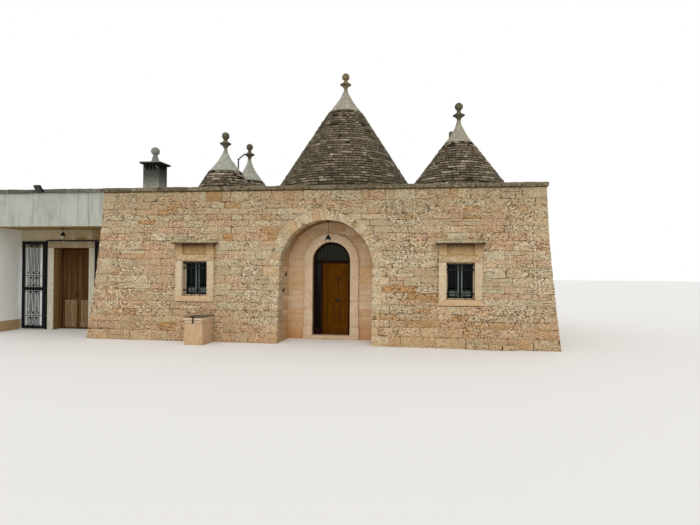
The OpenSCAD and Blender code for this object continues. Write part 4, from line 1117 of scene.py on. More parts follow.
# %% Finials
finial_stone = limestone(
    "carved_lichened_limestone",
    [(0.0, "59543f"), (0.6, "5f5a45"), (1.0, "84714b")],
    ("4a4029", 0.7, 0.08), ("8b8670", 0.8, 0.05), ("28241a", 0.8, 0.04), (0.010, 0.025))
DISC_R, BALL_R = 0.19, 0.128
FINIAL_H = {"main_cone": 0.42, "right_cone": 0.45, "left_cone": 0.41, "rear_cone": 0.46}
finial_pile = Pile()
for node, (centre, foot, cap_r) in cones.items():
    base, top = foot + CAP_H[node], FINIAL_H[node]
    disc = top * 0.40
    neck = [(NECK_R, 0.0), (NECK_R * 1.02, 0.02), (NECK_R * 1.3, disc - 0.10), (DISC_R * 0.62, disc - 0.055),
            (DISC_R * 0.93, disc - 0.025), (DISC_R, disc - 0.008), (DISC_R * 0.97, disc + 0.006),
            (DISC_R * 0.7, disc + 0.030), (NECK_R * 1.55, disc + 0.062), (NECK_R * 1.12, disc + 0.09),
            (NECK_R * 1.05, top - BALL_R * 0.82)]
    ball = [p for p in ball_profile(BALL_R, top) if p[1] > top - BALL_R * 0.8]
    profile = [(r, base + z) for r, z in neck + ball]
    pick = 1.0 if node == "main_cone" else dice.uniform(0.0, 0.5)
    turned(finial_pile, profile, (centre[0], centre[1], 0), 36, wear=0.005, size=0.07,
           tones=[(pick, 0.5, 0.6)] * len(profile))
set_piece("carved_finials", finial_pile, finial_stone, ["finials"], crease=50)

# A stub of dark stone stands in the left flank of the right cone's cap.
STUB_W, STUB_FROM_AXIS, STUB_FOOT, STUB_TOP = 0.13, 0.235, 0.20, 0.415
centre, foot, cap_r = cones["right_cone"]
stub_x = centre[0] - STUB_FROM_AXIS
stub_pile = Pile()
block(stub_pile, (stub_x - STUB_W / 2, centre[1] - STUB_W / 2, foot + STUB_FOOT),
      (stub_x + STUB_W / 2, centre[1] + STUB_W / 2, foot + STUB_TOP), arris=0.045, cells=(2, 2, 3),
      wear=0.010, tone=(0.1, 0.0, 0.3))
set_piece("cap_stub", stub_pile, finial_stone)

# %% [markdown]
# Coping slabs lie on every wall top, about 90 cm long, with worn front edges and narrow joints.

# %% Coping slabs
COPING_LOW, COPING_HIGH = span("copings")
COPING_OUT = COPING_HIGH[1] - BACK
COPING_IN = 0.48
WING_COPING_IN = 0.31
grey_coping = limestone(
    "rain_washed_grey_limestone",
    [(0.0, "615f56"), (0.5, "57564d"), (1.0, "68665d")],
    ("45433a", 0.7, 0.12), ("838179", 0.8, 0.08), ("2b2b26", 0.7, 0.05), (0.008, 0.035))
coping_pile, wing_coping_pile = Pile(), Pile()


def coping_run(pile, low, high, axis, size=0.9):
    """A row of slabs along x (axis 0) or y (axis 1)."""
    cuts = split(low[axis], high[axis], size, 0.2)
    for a, b in zip(cuts, cuts[1:]):
        from_corner, to_corner = [low[0], low[1], WALL_TOP], [high[0], high[1], COPING_HIGH[2]]
        from_corner[axis], to_corner[axis] = a + 0.003, b - 0.003
        cells = [2, 2, 1]
        cells[axis] = 6
        block(pile, from_corner, to_corner, arris=0.014, cells=cells, wear=0.005, skew=0.005,
              tone=(dice.random(), dice.random(), dice.random()))


wing_end, right_end = LEFT - COPING_OUT, RIGHT + COPING_OUT
coping_run(wing_coping_pile, (COPING_LOW[0], -COPING_OUT), (wing_end, COPING_IN), 0)
coping_run(coping_pile, (wing_end, -COPING_OUT), (right_end, COPING_IN), 0)
coping_run(coping_pile, (wing_end, BACK - COPING_IN), (right_end, BACK + COPING_OUT), 0)
coping_run(coping_pile, (RIGHT - COPING_IN, COPING_IN), (right_end, BACK - COPING_IN), 1)
coping_run(coping_pile, (wing_end, COPING_IN), (LEFT + COPING_IN, BACK - COPING_IN), 1)
wing_inner = WING_LOW[0] + WING_COPING_IN
coping_run(wing_coping_pile, (COPING_LOW[0], COPING_IN), (wing_inner, WING_DEPTH + COPING_OUT), 1)
coping_run(wing_coping_pile, (wing_inner, WING_DEPTH - WING_COPING_IN),
           (wing_end, WING_DEPTH + COPING_OUT), 0)
set_piece("coping_slabs", coping_pile, coping_stone, ["copings"])
set_piece("wing_coping_slabs", wing_coping_pile, grey_coping)

# %% [markdown]
# The windows are framed in dressed stone: a sill, two jambs, a lintel, and a dark frieze between
# two corbels whose heads curve forward to carry the hood. Corbels, frieze and the hood's thin
# lip are of one stone with painted shade that grows darkest under the hood. Each stone is its own block.

# %% Window surrounds and hoods
FRONT_Y = HOOD_LOW[1] + 0.09
SURROUND_BACK = SURROUND_HIGH[1]
LINTEL_TOP = HEAD_Z + 0.18
CORBEL_W, CORBEL_OUT, FRIEZE_BACK = 0.20, 0.075, 0.045
HAIR = 0.002


def on_corbel(x, y, z):
    """Bends a corbel's front forward in a quarter curve towards its head."""
    share = np.clip((z - LINTEL_TOP) / (HOOD_LOW[2] - LINTEL_TOP), 0, 1)
    forward = CORBEL_OUT * (1 - np.sqrt(1 - share ** 2))
    depth = (SURROUND_BACK - y) / (SURROUND_BACK - FRONT_Y)
    return np.stack([x, y - forward * depth, z], axis=1)


LIP_H, LIP_IN = 0.03, 0.01
SILL_JOINT_IN, SILL_JOINT_SUNK, SILL_JOINT_H = 0.012, 0.010, 0.016
hood_half = SURROUND_HALF + (SURROUND_LOW[0] - HOOD_LOW[0])
trim_pile, frieze_pile, hood_pile, sill_shadow_pile = Pile(), Pile(), Pile(), Pile()
for x in WINDOW_X:
    half = WINDOW_W / 2
    left, right = x - SURROUND_HALF, x + SURROUND_HALF
    stones = [
        ((left, FRONT_Y, SURROUND_LOW[2]), (right, SURROUND_BACK, SILL_Z - HAIR)),
        ((left, FRONT_Y, SILL_Z), (x - half, SURROUND_BACK, HEAD_Z - HAIR)),
        ((x + half, FRONT_Y, SILL_Z), (right, SURROUND_BACK, HEAD_Z - HAIR)),
        ((left, FRONT_Y, HEAD_Z), (right, SURROUND_BACK, LINTEL_TOP - HAIR))]
    looks = ((0.95, 0.5, 1.0), (0.2, 0.5, 1.0), (0.4, 0.5, 1.0), (1.0, 0.2, 0.6))
    for (low, high), (pick, darkest, lightest) in zip(stones, looks):
        block(trim_pile, low, high, cells=(4, 2, 4), wear=0.0015,
              tone=(pick, dice.uniform(darkest, lightest), dice.uniform(0.2, 0.7)))
    for x0, x1 in ((left, left + CORBEL_W), (right - CORBEL_W, right)):
        block(frieze_pile, (x0, FRONT_Y, LINTEL_TOP), (x1, SURROUND_BACK, HOOD_LOW[2]), on_corbel,
              arris=0.005, cells=(2, 1, 9), wear=0.0015, tone=(1.0, 0.7, 0.3))
    block(frieze_pile, (left + CORBEL_W + HAIR, FRONT_Y + FRIEZE_BACK, LINTEL_TOP),
          (right - CORBEL_W - HAIR, SURROUND_BACK, HOOD_LOW[2]), arris=0.005, cells=(4, 1, 2), wear=0.0015,
          tone=(0.0 if x < 0 else 0.7, 0.5, 0.3))
    block(frieze_pile, (x - hood_half + LIP_IN, HOOD_LOW[1] + 0.015, HOOD_LOW[2]),
          (x + hood_half - LIP_IN, SURROUND_BACK, HOOD_LOW[2] + LIP_H), arris=0.008, cells=(8, 2, 1),
          wear=0.003, tone=(0.0, 0.0, 0.3))
    block(hood_pile, (x - hood_half, HOOD_LOW[1], HOOD_LOW[2] + LIP_H),
          (x + hood_half, SURROUND_BACK, HOOD_HIGH[2]), arris=0.010, cells=(12, 4, 2), wear=0.006,
          tone=(1.0, 1.0, 1.0))
    # A near black strip in the joint under each sill: painted shadow of the sill.
    block(sill_shadow_pile, (left + SILL_JOINT_IN, FRONT_Y + SILL_JOINT_SUNK, SURROUND_LOW[2] - SILL_JOINT_H),
          (right - SILL_JOINT_IN, SURROUND_BACK, SURROUND_LOW[2] - 0.001), arris=0.003, cells=(6, 1, 1))
set_piece("window_stones", trim_pile, cream_stone, ["window_surrounds"])
# Painted shade of the hood: the stone darkens upward to near black at the hood's thin lip.
frieze_stone = limestone(
    "frieze_limestone_painted_shade",
    [(0.0, "a98a60"), (1.0, "b99a70")],
    ("9c7a4f", 0.5, 0.12), ("bda67c", 0.5, 0.06), ("6e5534", 0.6, 0.04), (0.005, 0.03),
    damp_and_shade_by_height=("3f2a12", LINTEL_TOP + 0.04, HOOD_LOW[2] + 0.01, 0.92))
set_piece("window_friezes", frieze_pile, frieze_stone)
hood_stone = limestone(
    "lichened_hood_limestone",
    [(0.0, "8d7f63"), (1.0, "998a6c")],
    ("6b5d44", 0.6, 0.12), ("b3a88c", 0.8, 0.07), ("423a2b", 0.7, 0.05), (0.010, 0.035))
set_piece("hood_slabs", hood_pile, hood_stone, ["window_hoods"])
set_piece("sill_joint_painted_shadow", sill_shadow_pile, packing_painted_shade)

# %% [markdown]
# The windows' wood is painted a green so dark that it looks black. Old oil paint has gone
# chalky, so its roughness is 0.6 and it hardly shines. The meeting stiles are a pale grey.
# Thin cream stone rebates part the dark wood from the surround.

# %% Paint, glass and iron
def paint(name, fresh, worn, roughness, patch_size=0.3, metallic=0.0, shine=0.3):
    """A painted or forged surface, with worn blotches and a fine bump."""
    material, tree, surface, place = start_material(name)
    share = blotches(tree, place, patch_size, 0.45, 0.75, 6.0)
    colour = stained(tree, fresh, worn, share)
    finish_surface(tree, surface, colour, cloud(tree, place, 0.01, 3.0), 0.0006, roughness, shine)
    dulled = between(tree, share, roughness, min(1.0, roughness + 0.2))
    tree.links.new(dulled, surface.inputs["Roughness"])
    surface.inputs["Metallic"].default_value = metallic
    return material


window_paint = paint("dark_green_oil_paint", "060d0b", "0e1512", 0.6, shine=0.15)
panel_paint = paint("dull_green_oil_paint", "3f4b44", "4a564d", 0.6)
bar_paint = paint("fanlight_bar_paint", "2c3530", "39423a", 0.6)
pale_grey_paint = paint("pale_grey_oil_paint", "65716a", "525c55", 0.6)
forged_iron = paint("forged_iron", "0d1110", "1c1a17", 0.5, 0.06, metallic=0.3)
rusted_iron = paint("rusted_iron", "2a1c14", "4a2c1a", 0.8, 0.05)
brass = paint("tarnished_brass", "1f1407", "2e1e0c", 0.5, 0.03, metallic=0.4)


def glass(name, tint, roughness, shine=0.15):
    """Window glass over a dark room: a smooth dark surface that mirrors a little."""
    material, tree, surface, place = start_material(name)
    finish_surface(tree, surface, tint, cloud(tree, place, 0.25, 1.0), 0.002, roughness, shine)
    return material


window_glass = glass("drawn_window_glass", "050b09", 0.12, 0.08)
strip_glass = glass("dark_strip_glass", "0e0704", 0.2, 0.05)
fanlight_glass = glass("green_fanlight_glass", "18160a", 0.2, 0.1)
lamp_glass = glass("frosted_lamp_glass", "b5ad98", 0.35, 0.4)
flood_glass = glass("grey_floodlight_glass", "343a33", 0.3, 0.2)
dress(window_glass, "window_glass")
dress(fanlight_glass, "door_glass")
print(len(bpy.data.materials), "materials so far")

# %% Casements and bars
SASH_W, MEETING_IN, MEETING_W = 0.045, 0.026, 0.036
LEAF_STILE_W, LEAF_RAIL_W, CASEMENT_GAP = 0.034, 0.04, 0.003
REBATE_W, REBATE_OUT = 0.032, 0.014
SASH_FRONT, SASH_BACK = SASH_LOW[1], SASH_HIGH[1]
PANEL_H = 0.26
BAR_R, TIE_SHARES = 0.0105, (0.05, 0.19, 0.83)
GRILLE_Y = (span("window_grilles")[0][1] + span("window_grilles")[1][1]) / 2
sash_pile, panel_pile, pale_grey_pile = Pile(), Pile(), Pile()
grille_pile, rebate_pile = Pile(), Pile()


def line_opening(pile, x, width, front, back, tone=PLAIN):
    """Lays four strips along the sides of a window's opening."""
    left, right = x - WINDOW_W / 2, x + WINDOW_W / 2
    for x0, z0, x1, z1 in ((left, SILL_Z, left + width, HEAD_Z), (right - width, SILL_Z, right, HEAD_Z),
                           (left, HEAD_Z - width, right, HEAD_Z), (left, SILL_Z, right, SILL_Z + width)):
        block(pile, (x0, front, z0), (x1, back, z1), arris=0.004, tone=tone)


def plate(pile, x, z, half_x, half_z, front, back, arris, **more):
    """A block whose middle is at x and z, between two depths."""
    block(pile, (x - half_x, front, z - half_z), (x + half_x, back, z + half_z), arris=arris, **more)


for x in WINDOW_X:
    half = WINDOW_W / 2
    line_opening(sash_pile, x, SASH_W, SASH_FRONT, SASH_BACK)
    line_opening(rebate_pile, x, REBATE_W, SASH_FRONT - REBATE_OUT, SASH_FRONT + 0.002, (0.2, 0.3, 0.3))
    top, foot = HEAD_Z - SASH_W - CASEMENT_GAP, SILL_Z + SASH_W + CASEMENT_GAP
    leaf, leaf_back = SASH_FRONT + 0.006, SASH_BACK - 0.004
    for side in (-1, 1):
        inner, outer = x + side * 0.004, x + side * (half - SASH_W - CASEMENT_GAP)
        block(sash_pile, (inner, leaf - 0.004, foot), (x + side * MEETING_IN, leaf_back, top), arris=0.004)
        inner = x + side * (MEETING_IN + 0.001)
        block(pale_grey_pile, (inner, leaf, foot), (inner + side * MEETING_W, leaf_back, top), arris=0.004)
        block(sash_pile, (outer, leaf, foot), (outer - side * LEAF_STILE_W, leaf_back, top), arris=0.004)
        middle = foot + PANEL_H - LEAF_RAIL_W
        for z0, z1 in ((top - LEAF_STILE_W, top), (middle - LEAF_RAIL_W, middle), (foot, foot + LEAF_RAIL_W)):
            block(sash_pile, (inner + side * MEETING_W, leaf, z0), (outer, leaf_back, z1), arris=0.004)
        block(panel_pile, (inner + side * 0.045, leaf + 0.014, foot + 0.03),
              (outer - side * 0.03, SASH_BACK - 0.012, foot + PANEL_H - 0.07))
        block(pale_grey_pile, (inner + side * 0.055, leaf + 0.004, foot + 0.035),
              (outer - side * 0.045, leaf + 0.02, foot + PANEL_H - 0.12), arris=0.005)
        upright = x + side * half / 3
        rod(grille_pile, [(upright, GRILLE_Y, SILL_Z - 0.02), (upright, GRILLE_Y, HEAD_Z + 0.02)], BAR_R, 8)
    for share in TIE_SHARES:
        z = HEAD_Z - (HEAD_Z - SILL_Z) * share - 0.008
        plate(grille_pile, x, z, half + 0.02, 0.013, GRILLE_Y - 0.007, GRILLE_Y + 0.007, 0.003)
        for side in (-1, 1):
            block(grille_pile, (x + side * (half - 0.045), GRILLE_Y - 0.016, z - 0.024),
                  (x + side * (half + 0.01), GRILLE_Y + 0.010, z + 0.024), arris=0.005)
            upright = x + side * half / 3
            plate(grille_pile, upright, z, 0.018, 0.018, GRILLE_Y - 0.018, GRILLE_Y + 0.018, 0.005)
set_piece("casements", sash_pile, window_paint, ["window_sashes"])
set_piece("casement_panels", panel_pile, panel_paint)
set_piece("meeting_stiles", pale_grey_pile, pale_grey_paint)
set_piece("window_rebates", rebate_pile, cream_stone)
set_piece("window_bars", grille_pile, forged_iron, ["window_grilles"])

# %% [markdown]
# Round the doorway runs a band of pinkish cream stone: jambs on foot blocks, a thin impost, and
# an arch with a raised moulding on its back. A round-headed door sits in it with a fanlight.

# %% Door surround and threshold
band_stone = limestone(
    "dressed_pink_limestone",
    [(0.0, "c9b092"), (0.5, "c4a98b"), (1.0, "bd9d79")],
    ("b28e69", 0.5, 0.18), ("d6c6ac", 0.7, 0.12), ("8e7050", 0.4, 0.04), (0.004, 0.03),
    shades=(0.95, 1.05), damp_and_shade_by_height=("a06f45", 0.5, 0.5))
FACE_Y = span("door_surround")[0][1]
BAND_FRONT = FACE_Y + 0.022
BAND_W = 0.24
IMPOST_H, FOOT_H, MOULD, MOULD_W = 0.12, 0.25, 0.022, 0.040
IMPOST_TOP = DOOR_SPRING - MOULD
JAMB_JOINT = {-1: 0.55, 1: 0.42}
surround_pile = Pile()
for side in (-1, 1):
    inner, outer, proud = side * DOOR_R, side * (DOOR_R + BAND_W), side * (DOOR_R + BAND_W + MOULD)
    jamb_foot, jamb_top = THRESHOLD_Z + FOOT_H, IMPOST_TOP - IMPOST_H
    middle = jamb_foot + (jamb_top - jamb_foot) * JAMB_JOINT[side]
    stones = [((inner, FACE_Y, THRESHOLD_Z), (proud, NICHE_DEPTH, jamb_foot)),
              ((inner, BAND_FRONT, jamb_foot + HAIR), (outer, NICHE_DEPTH, middle)),
              ((inner, BAND_FRONT, middle + HAIR), (outer, NICHE_DEPTH, jamb_top)),
              ((inner, FACE_Y + 0.012, jamb_top), (proud - side * 0.010, NICHE_DEPTH, jamb_top + 0.075)),
              ((inner, FACE_Y, jamb_top + 0.072), (proud, NICHE_DEPTH, IMPOST_TOP))]
    for low, high in stones:
        block(surround_pile, low, high, arris=0.007, cells=(2, 1, 5), wear=0.0012,
              tone=(dice.uniform(0, 0.5), dice.uniform(0.4, 1), dice.random()))


def on_arch(r, b, s):
    """R goes out from the doorway's arch, s along it from its right foot."""
    x, z = round_arch(DOOR_R, DOOR_SPRING, s, r)
    return np.stack([x, b, z], axis=1)


lift_angle = (IMPOST_TOP - DOOR_SPRING) / DOOR_R
arch_cuts = np.linspace(lift_angle, math.pi - lift_angle, 4) * DOOR_R
for start, end in zip(arch_cuts, arch_cuts[1:]):
    tone = (dice.uniform(0.1, 0.4), 0.7, dice.random())
    mould_from = BAND_W - MOULD_W
    block(surround_pile, (0, BAND_FRONT, start), (mould_from + 0.004, NICHE_DEPTH, end), on_arch,
          arris=0.003, cells=(2, 1, 12), wear=0.001, tone=tone)
    block(surround_pile, (mould_from, FACE_Y, start), (BAND_W, NICHE_DEPTH, end), on_arch,
          arris=0.008, cells=(1, 1, 12), tone=tone)
set_piece("door_stones", surround_pile, band_stone, ["door_surround"])

sill_pile = Pile()
sill_low, sill_high = span("threshold")
cuts = split(sill_low[0], sill_high[0], 0.6, 0.1)
for a, b in zip(cuts, cuts[1:]):
    block(sill_pile, (a + HAIR, sill_low[1], 0), (b - HAIR, NICHE_DEPTH, THRESHOLD_Z), arris=0.014,
          cells=(4, 1, 1), wear=0.003, tone=(dice.uniform(0.2, 0.8), dice.random(), dice.random()))
block(sill_pile, (-DOOR_R, NICHE_DEPTH + HAIR, 0), (DOOR_R, sill_high[1], THRESHOLD_Z), arris=0.008,
      cells=(6, 3, 1), wear=0.003, tone=(0.5, 0.4, 0.4))
set_piece("threshold_stones", sill_pile, band_stone, ["threshold"])

# %% [markdown]
# The door is oiled chestnut, a deep brown wood with long grain. It stands in the shade of the
# niche and shows hardly any gloss. Grain is a cloud stretched 25 times along the board. The
# frame is the same wood under a red stain.

# %% Wood
def oiled_wood(name, light, dark, roughness, grain_size=0.012, low=None):
    """Boards with upright grain.

    Low is (colour, height where it starts, height where it is full, cover).
    """
    material, tree, surface, place = start_material(name)
    tone, pick, shade, age = read_tone(tree)
    fibre = stretched(tree, own_pattern(tree, tone, place), 1.0, 1.0, 0.04)
    streak = blotches(tree, fibre, grain_size, 0.3, 0.7, 4.0)
    broad = blotches(tree, fibre, grain_size * 6, 0.35, 0.7, 2.0)
    colour = stained(tree, light, dark, weighed(tree, streak, 0.6, broad, clamp=True))
    if low:
        colour = stained(tree, colour, low[0], ramp_up(tree, height_of(tree, place), *low[1:]))
    colour = lightened(tree, colour, shade, 0.55, 1.45)
    finish_surface(tree, surface, colour, streak, 0.0012, roughness, 0.06)
    return material


door_wood = oiled_wood("oiled_chestnut", "5f3700", "4a2800", 0.75)
frame_wood = oiled_wood("dark_stained_chestnut", "28100a", "150905", 0.7)
wing_wood = oiled_wood("weathered_chestnut", "6f5230", "4d361c", 0.75, low=("55290f", 2.0, 2.6, 0.8))
wing_wood_low = oiled_wood("faded_chestnut", "8f7657", "725b40", 0.8)
lining_wood = oiled_wood("worn_chestnut_lining", "a4875c", "80643d", 0.8)

# %% Frame, fanlight and side strip
FRAME_W, POST_W, STRIP_W, FRAME_T = 0.06, 0.055, 0.147, 0.08
FRAME_Y0 = span("door_frame")[0][1]
FRAME_Y1 = FRAME_Y0 + FRAME_T
FRAME_IN = DOOR_R - FRAME_W
STRIP_RIGHT = -FRAME_IN + STRIP_W
RAIL_LOW = DOOR_SPRING - 0.05
RAIL_HIGH = RAIL_LOW + 0.07
KICK_BOARD_H = 0.2
frame_pile = Pile()
for side in (-1, 1):
    block(frame_pile, (side * FRAME_IN, FRAME_Y0, THRESHOLD_Z), (side * DOOR_R, FRAME_Y1, DOOR_SPRING),
          arris=0.005, cells=(1, 1, 3), tone=(dice.random(), 0.5, 0.5))
ARCH_PARTS = 4
for number in range(ARCH_PARTS):
    start, end = (math.pi * DOOR_R * k / ARCH_PARTS for k in (number, number + 1))
    block(frame_pile, (-FRAME_W, FRAME_Y0, start), (0, FRAME_Y1, end), on_arch, arris=0.005, cells=(1, 1, 8),
          tone=(dice.random(), 0.5, 0.5))
block(frame_pile, (-FRAME_IN, FRAME_Y0 - 0.012, RAIL_LOW), (FRAME_IN, FRAME_Y1, RAIL_HIGH), cells=(4, 1, 1))
block(frame_pile, (-FRAME_IN, FRAME_Y0 - 0.022, RAIL_HIGH - 0.02), (FRAME_IN, FRAME_Y0, RAIL_HIGH),
      cells=(4, 1, 1))
block(frame_pile, (STRIP_RIGHT, FRAME_Y0, THRESHOLD_Z), (STRIP_RIGHT + POST_W, FRAME_Y1, RAIL_LOW),
      cells=(1, 1, 3), tone=(0.4, 1.0, 0.5))
block(frame_pile, (-FRAME_IN, FRAME_Y0 + 0.01, THRESHOLD_Z),
      (STRIP_RIGHT, FRAME_Y1, THRESHOLD_Z + KICK_BOARD_H), arris=0.005)
block(frame_pile, (-FRAME_IN + 0.03, FRAME_Y0 + 0.002, THRESHOLD_Z + 0.04),
      (STRIP_RIGHT - 0.03, FRAME_Y0 + 0.02, THRESHOLD_Z + KICK_BOARD_H - 0.04))
HINGE_Z = (0.35, 1.15, 1.90)
KNUCKLE_R, KNUCKLE_H, KNUCKLE_GAP = 0.008, 0.05, 0.0003
PLATE_W, PLATE_T = 0.032, 0.003


def pin_of(body):
    """Where a body's upright hinge pin stands."""
    joint = next(j for j in frame["joints"] if j["child"] == body)
    return np.array(joint["pos_m"][:2]) - ORIGIN[:2]


def hang(pile, pin, side, face, on_leaf):
    """Half of three hinges: low knuckles and plates on the frame, or the ones above on the leaf."""
    for z in HINGE_Z:
        foot = z + KNUCKLE_H * on_leaf
        rod(pile, [(*pin, foot + KNUCKLE_GAP), (*pin, foot + KNUCKLE_H)], KNUCKLE_R, 12)
        block(pile, (pin[0], face - 0.001 * on_leaf, foot + 0.001 * on_leaf),
              (pin[0] + side * PLATE_W, face + PLATE_T, foot + KNUCKLE_H), arris=0.001)


DOOR_PIN = pin_of("front_door")
hang(frame_pile, DOOR_PIN, 1, FRAME_Y1, on_leaf=False)
set_piece("doorway_frame", frame_pile, frame_wood, ["door_frame"])

# The strip's glass is darker than the fanlight's, so a pane of its own stands before it.
strip_pile = Pile()
block(strip_pile, (-FRAME_IN + 0.002, FRAME_Y0 + 0.028, THRESHOLD_Z + KICK_BOARD_H - 0.005),
      (STRIP_RIGHT - 0.002, FRAME_Y0 + 0.031, RAIL_LOW), arris=0.001)
set_piece("strip_pane", strip_pile, strip_glass)

bar_pile = Pile()
BARS = 9
for number in range(BARS):
    x = FRAME_IN * (2 * (number + 1) / (BARS + 1) - 1)
    top = DOOR_SPRING + math.sqrt(FRAME_IN ** 2 - x ** 2)
    block(bar_pile, (x - 0.005, FRAME_Y0 + 0.02, RAIL_HIGH - 0.005),
          (x + 0.005, FRAME_Y0 + 0.034, top + 0.01), arris=0.002)
set_piece("fanlight_bars", bar_pile, bar_paint)

# %% [markdown]
# The leaf is framed: a wide lock stile with upright reeds, a narrow hinge stile, rails, and two
# flat panels. A ring knocker, a dark letter plate and a knob sit on it.

# %% Front door
LEAF_LOW, LEAF_HIGH = span("front_door")
LEAF_FRONT = LEAF_LOW[1]
LEAF_BACK = FRAME_Y1
LEAF_L = STRIP_RIGHT + POST_W + 0.005
LEAF_R = FRAME_IN - 0.005
LEAF_Z0, LEAF_Z1 = LEAF_LOW[2], LEAF_HIGH[2]
LOCK_STILE, HINGE_STILE, RAIL = 0.165, 0.055, 0.12
leaf_pile = Pile()


def board(pile, x0, x1, z0, z1, front, back, arris=0.004, grain=None):
    """A board between two sides, two heights and two depths. Grain is how light it is."""
    block(pile, (x0, front, z0), (x1, back, z1), arris=arris, cells=(1, 1, 2),
          tone=(dice.random(), grain if grain is not None else dice.uniform(0.45, 0.58), 0.5))


REEDS = 4
# Sunk reeds are painted darker and raised ones lighter: painted shade and highlight.
for number in range(REEDS):
    x0 = LEAF_L + LOCK_STILE * number / REEDS
    sunk = number % 2
    board(leaf_pile, x0, x0 + LOCK_STILE / REEDS - 0.002, LEAF_Z0, LEAF_Z1, LEAF_FRONT + 0.006 * sunk,
          LEAF_BACK, arris=0.008, grain=0.35 if sunk else 0.62)
board(leaf_pile, LEAF_R - HINGE_STILE, LEAF_R, LEAF_Z0, LEAF_Z1, LEAF_FRONT, LEAF_BACK, grain=0.4)
panel_l, panel_r = LEAF_L + LOCK_STILE, LEAF_R - HINGE_STILE
FOOT_RAIL, MID_RAIL_Z, MID_RAIL_HALF = 0.31, 1.11, 0.055
MOULDING_H, MOULDING_OUT = 0.026, 0.012
fields = [(LEAF_Z0 + FOOT_RAIL, MID_RAIL_Z - MID_RAIL_HALF), (MID_RAIL_Z + MID_RAIL_HALF, LEAF_Z1 - RAIL)]
for z0, z1 in ((LEAF_Z1 - RAIL, LEAF_Z1), (MID_RAIL_Z - MID_RAIL_HALF, MID_RAIL_Z + MID_RAIL_HALF),
               (LEAF_Z0, LEAF_Z0 + FOOT_RAIL)):
    board(leaf_pile, panel_l, panel_r, z0, z1, LEAF_FRONT + 0.002, LEAF_BACK)
# The mouldings take the lightest tone: a painted highlight along them, beside their real shadow.
for z in (LEAF_Z0 + 0.21, LEAF_Z0 + 0.295, MID_RAIL_Z + 0.045):
    block(leaf_pile, (panel_l, LEAF_FRONT - MOULDING_OUT, z), (panel_r, LEAF_FRONT + 0.01, z + MOULDING_H),
          cells=(2, 1, 1), tone=(0.3, 1.0, 0.5))
for z0, z1 in fields:
    board(leaf_pile, panel_l - 0.004, panel_r + 0.004, z0 - 0.004, z1 + 0.004, LEAF_FRONT + 0.010,
          LEAF_BACK - 0.01)
    board(leaf_pile, panel_l + 0.03, panel_r - 0.03, z0 + 0.03, z1 - 0.03, LEAF_FRONT + 0.005,
          LEAF_BACK - 0.02, 0.006)
hang(leaf_pile, DOOR_PIN, -1, LEAF_BACK, on_leaf=True)
set_piece("front_door_leaf", leaf_pile, door_wood, ["front_door"], "front_door")

KNOCKER_X, KNOCKER_Z, KNOCKER_R = 0.182, 1.77, 0.050
SLOT_Z, KNOB_X, KNOB_Z = 1.105, LEAF_L + 0.05, 1.06
knocker_pile = Pile()
ring_path = [(KNOCKER_X + KNOCKER_R * math.sin(t), LEAF_FRONT - 0.009,
              KNOCKER_Z - KNOCKER_R + KNOCKER_R * math.cos(t))
             for t in np.linspace(0, 2 * math.pi, 24, endpoint=False)]
rod(knocker_pile, ring_path, 0.010, 8, closed=True)
rod(knocker_pile, [(KNOCKER_X, LEAF_FRONT + out, KNOCKER_Z) for out in (0.012, -0.004, -0.012)], 0.020, 16)
plate(knocker_pile, KNOCKER_X, SLOT_Z, 0.075, 0.035, LEAF_FRONT - 0.005, LEAF_FRONT + 0.004, 0.003)
plate(knocker_pile, KNOCKER_X, SLOT_Z - 0.002, 0.06, 0.020, LEAF_FRONT - 0.011, LEAF_FRONT - 0.003, 0.004)
rod(knocker_pile, [(KNOB_X, LEAF_FRONT + out, KNOB_Z) for out in (-0.001, -0.03, -0.042)], 0.016, 16)
set_piece("knocker_and_plate", knocker_pile, brass, ["door_knocker"], "front_door")

# %% [markdown]
# Two small iron lamps hang from the niche's vault and the porch's ceiling: a rose, a rod, a
# cone hood and a glass.

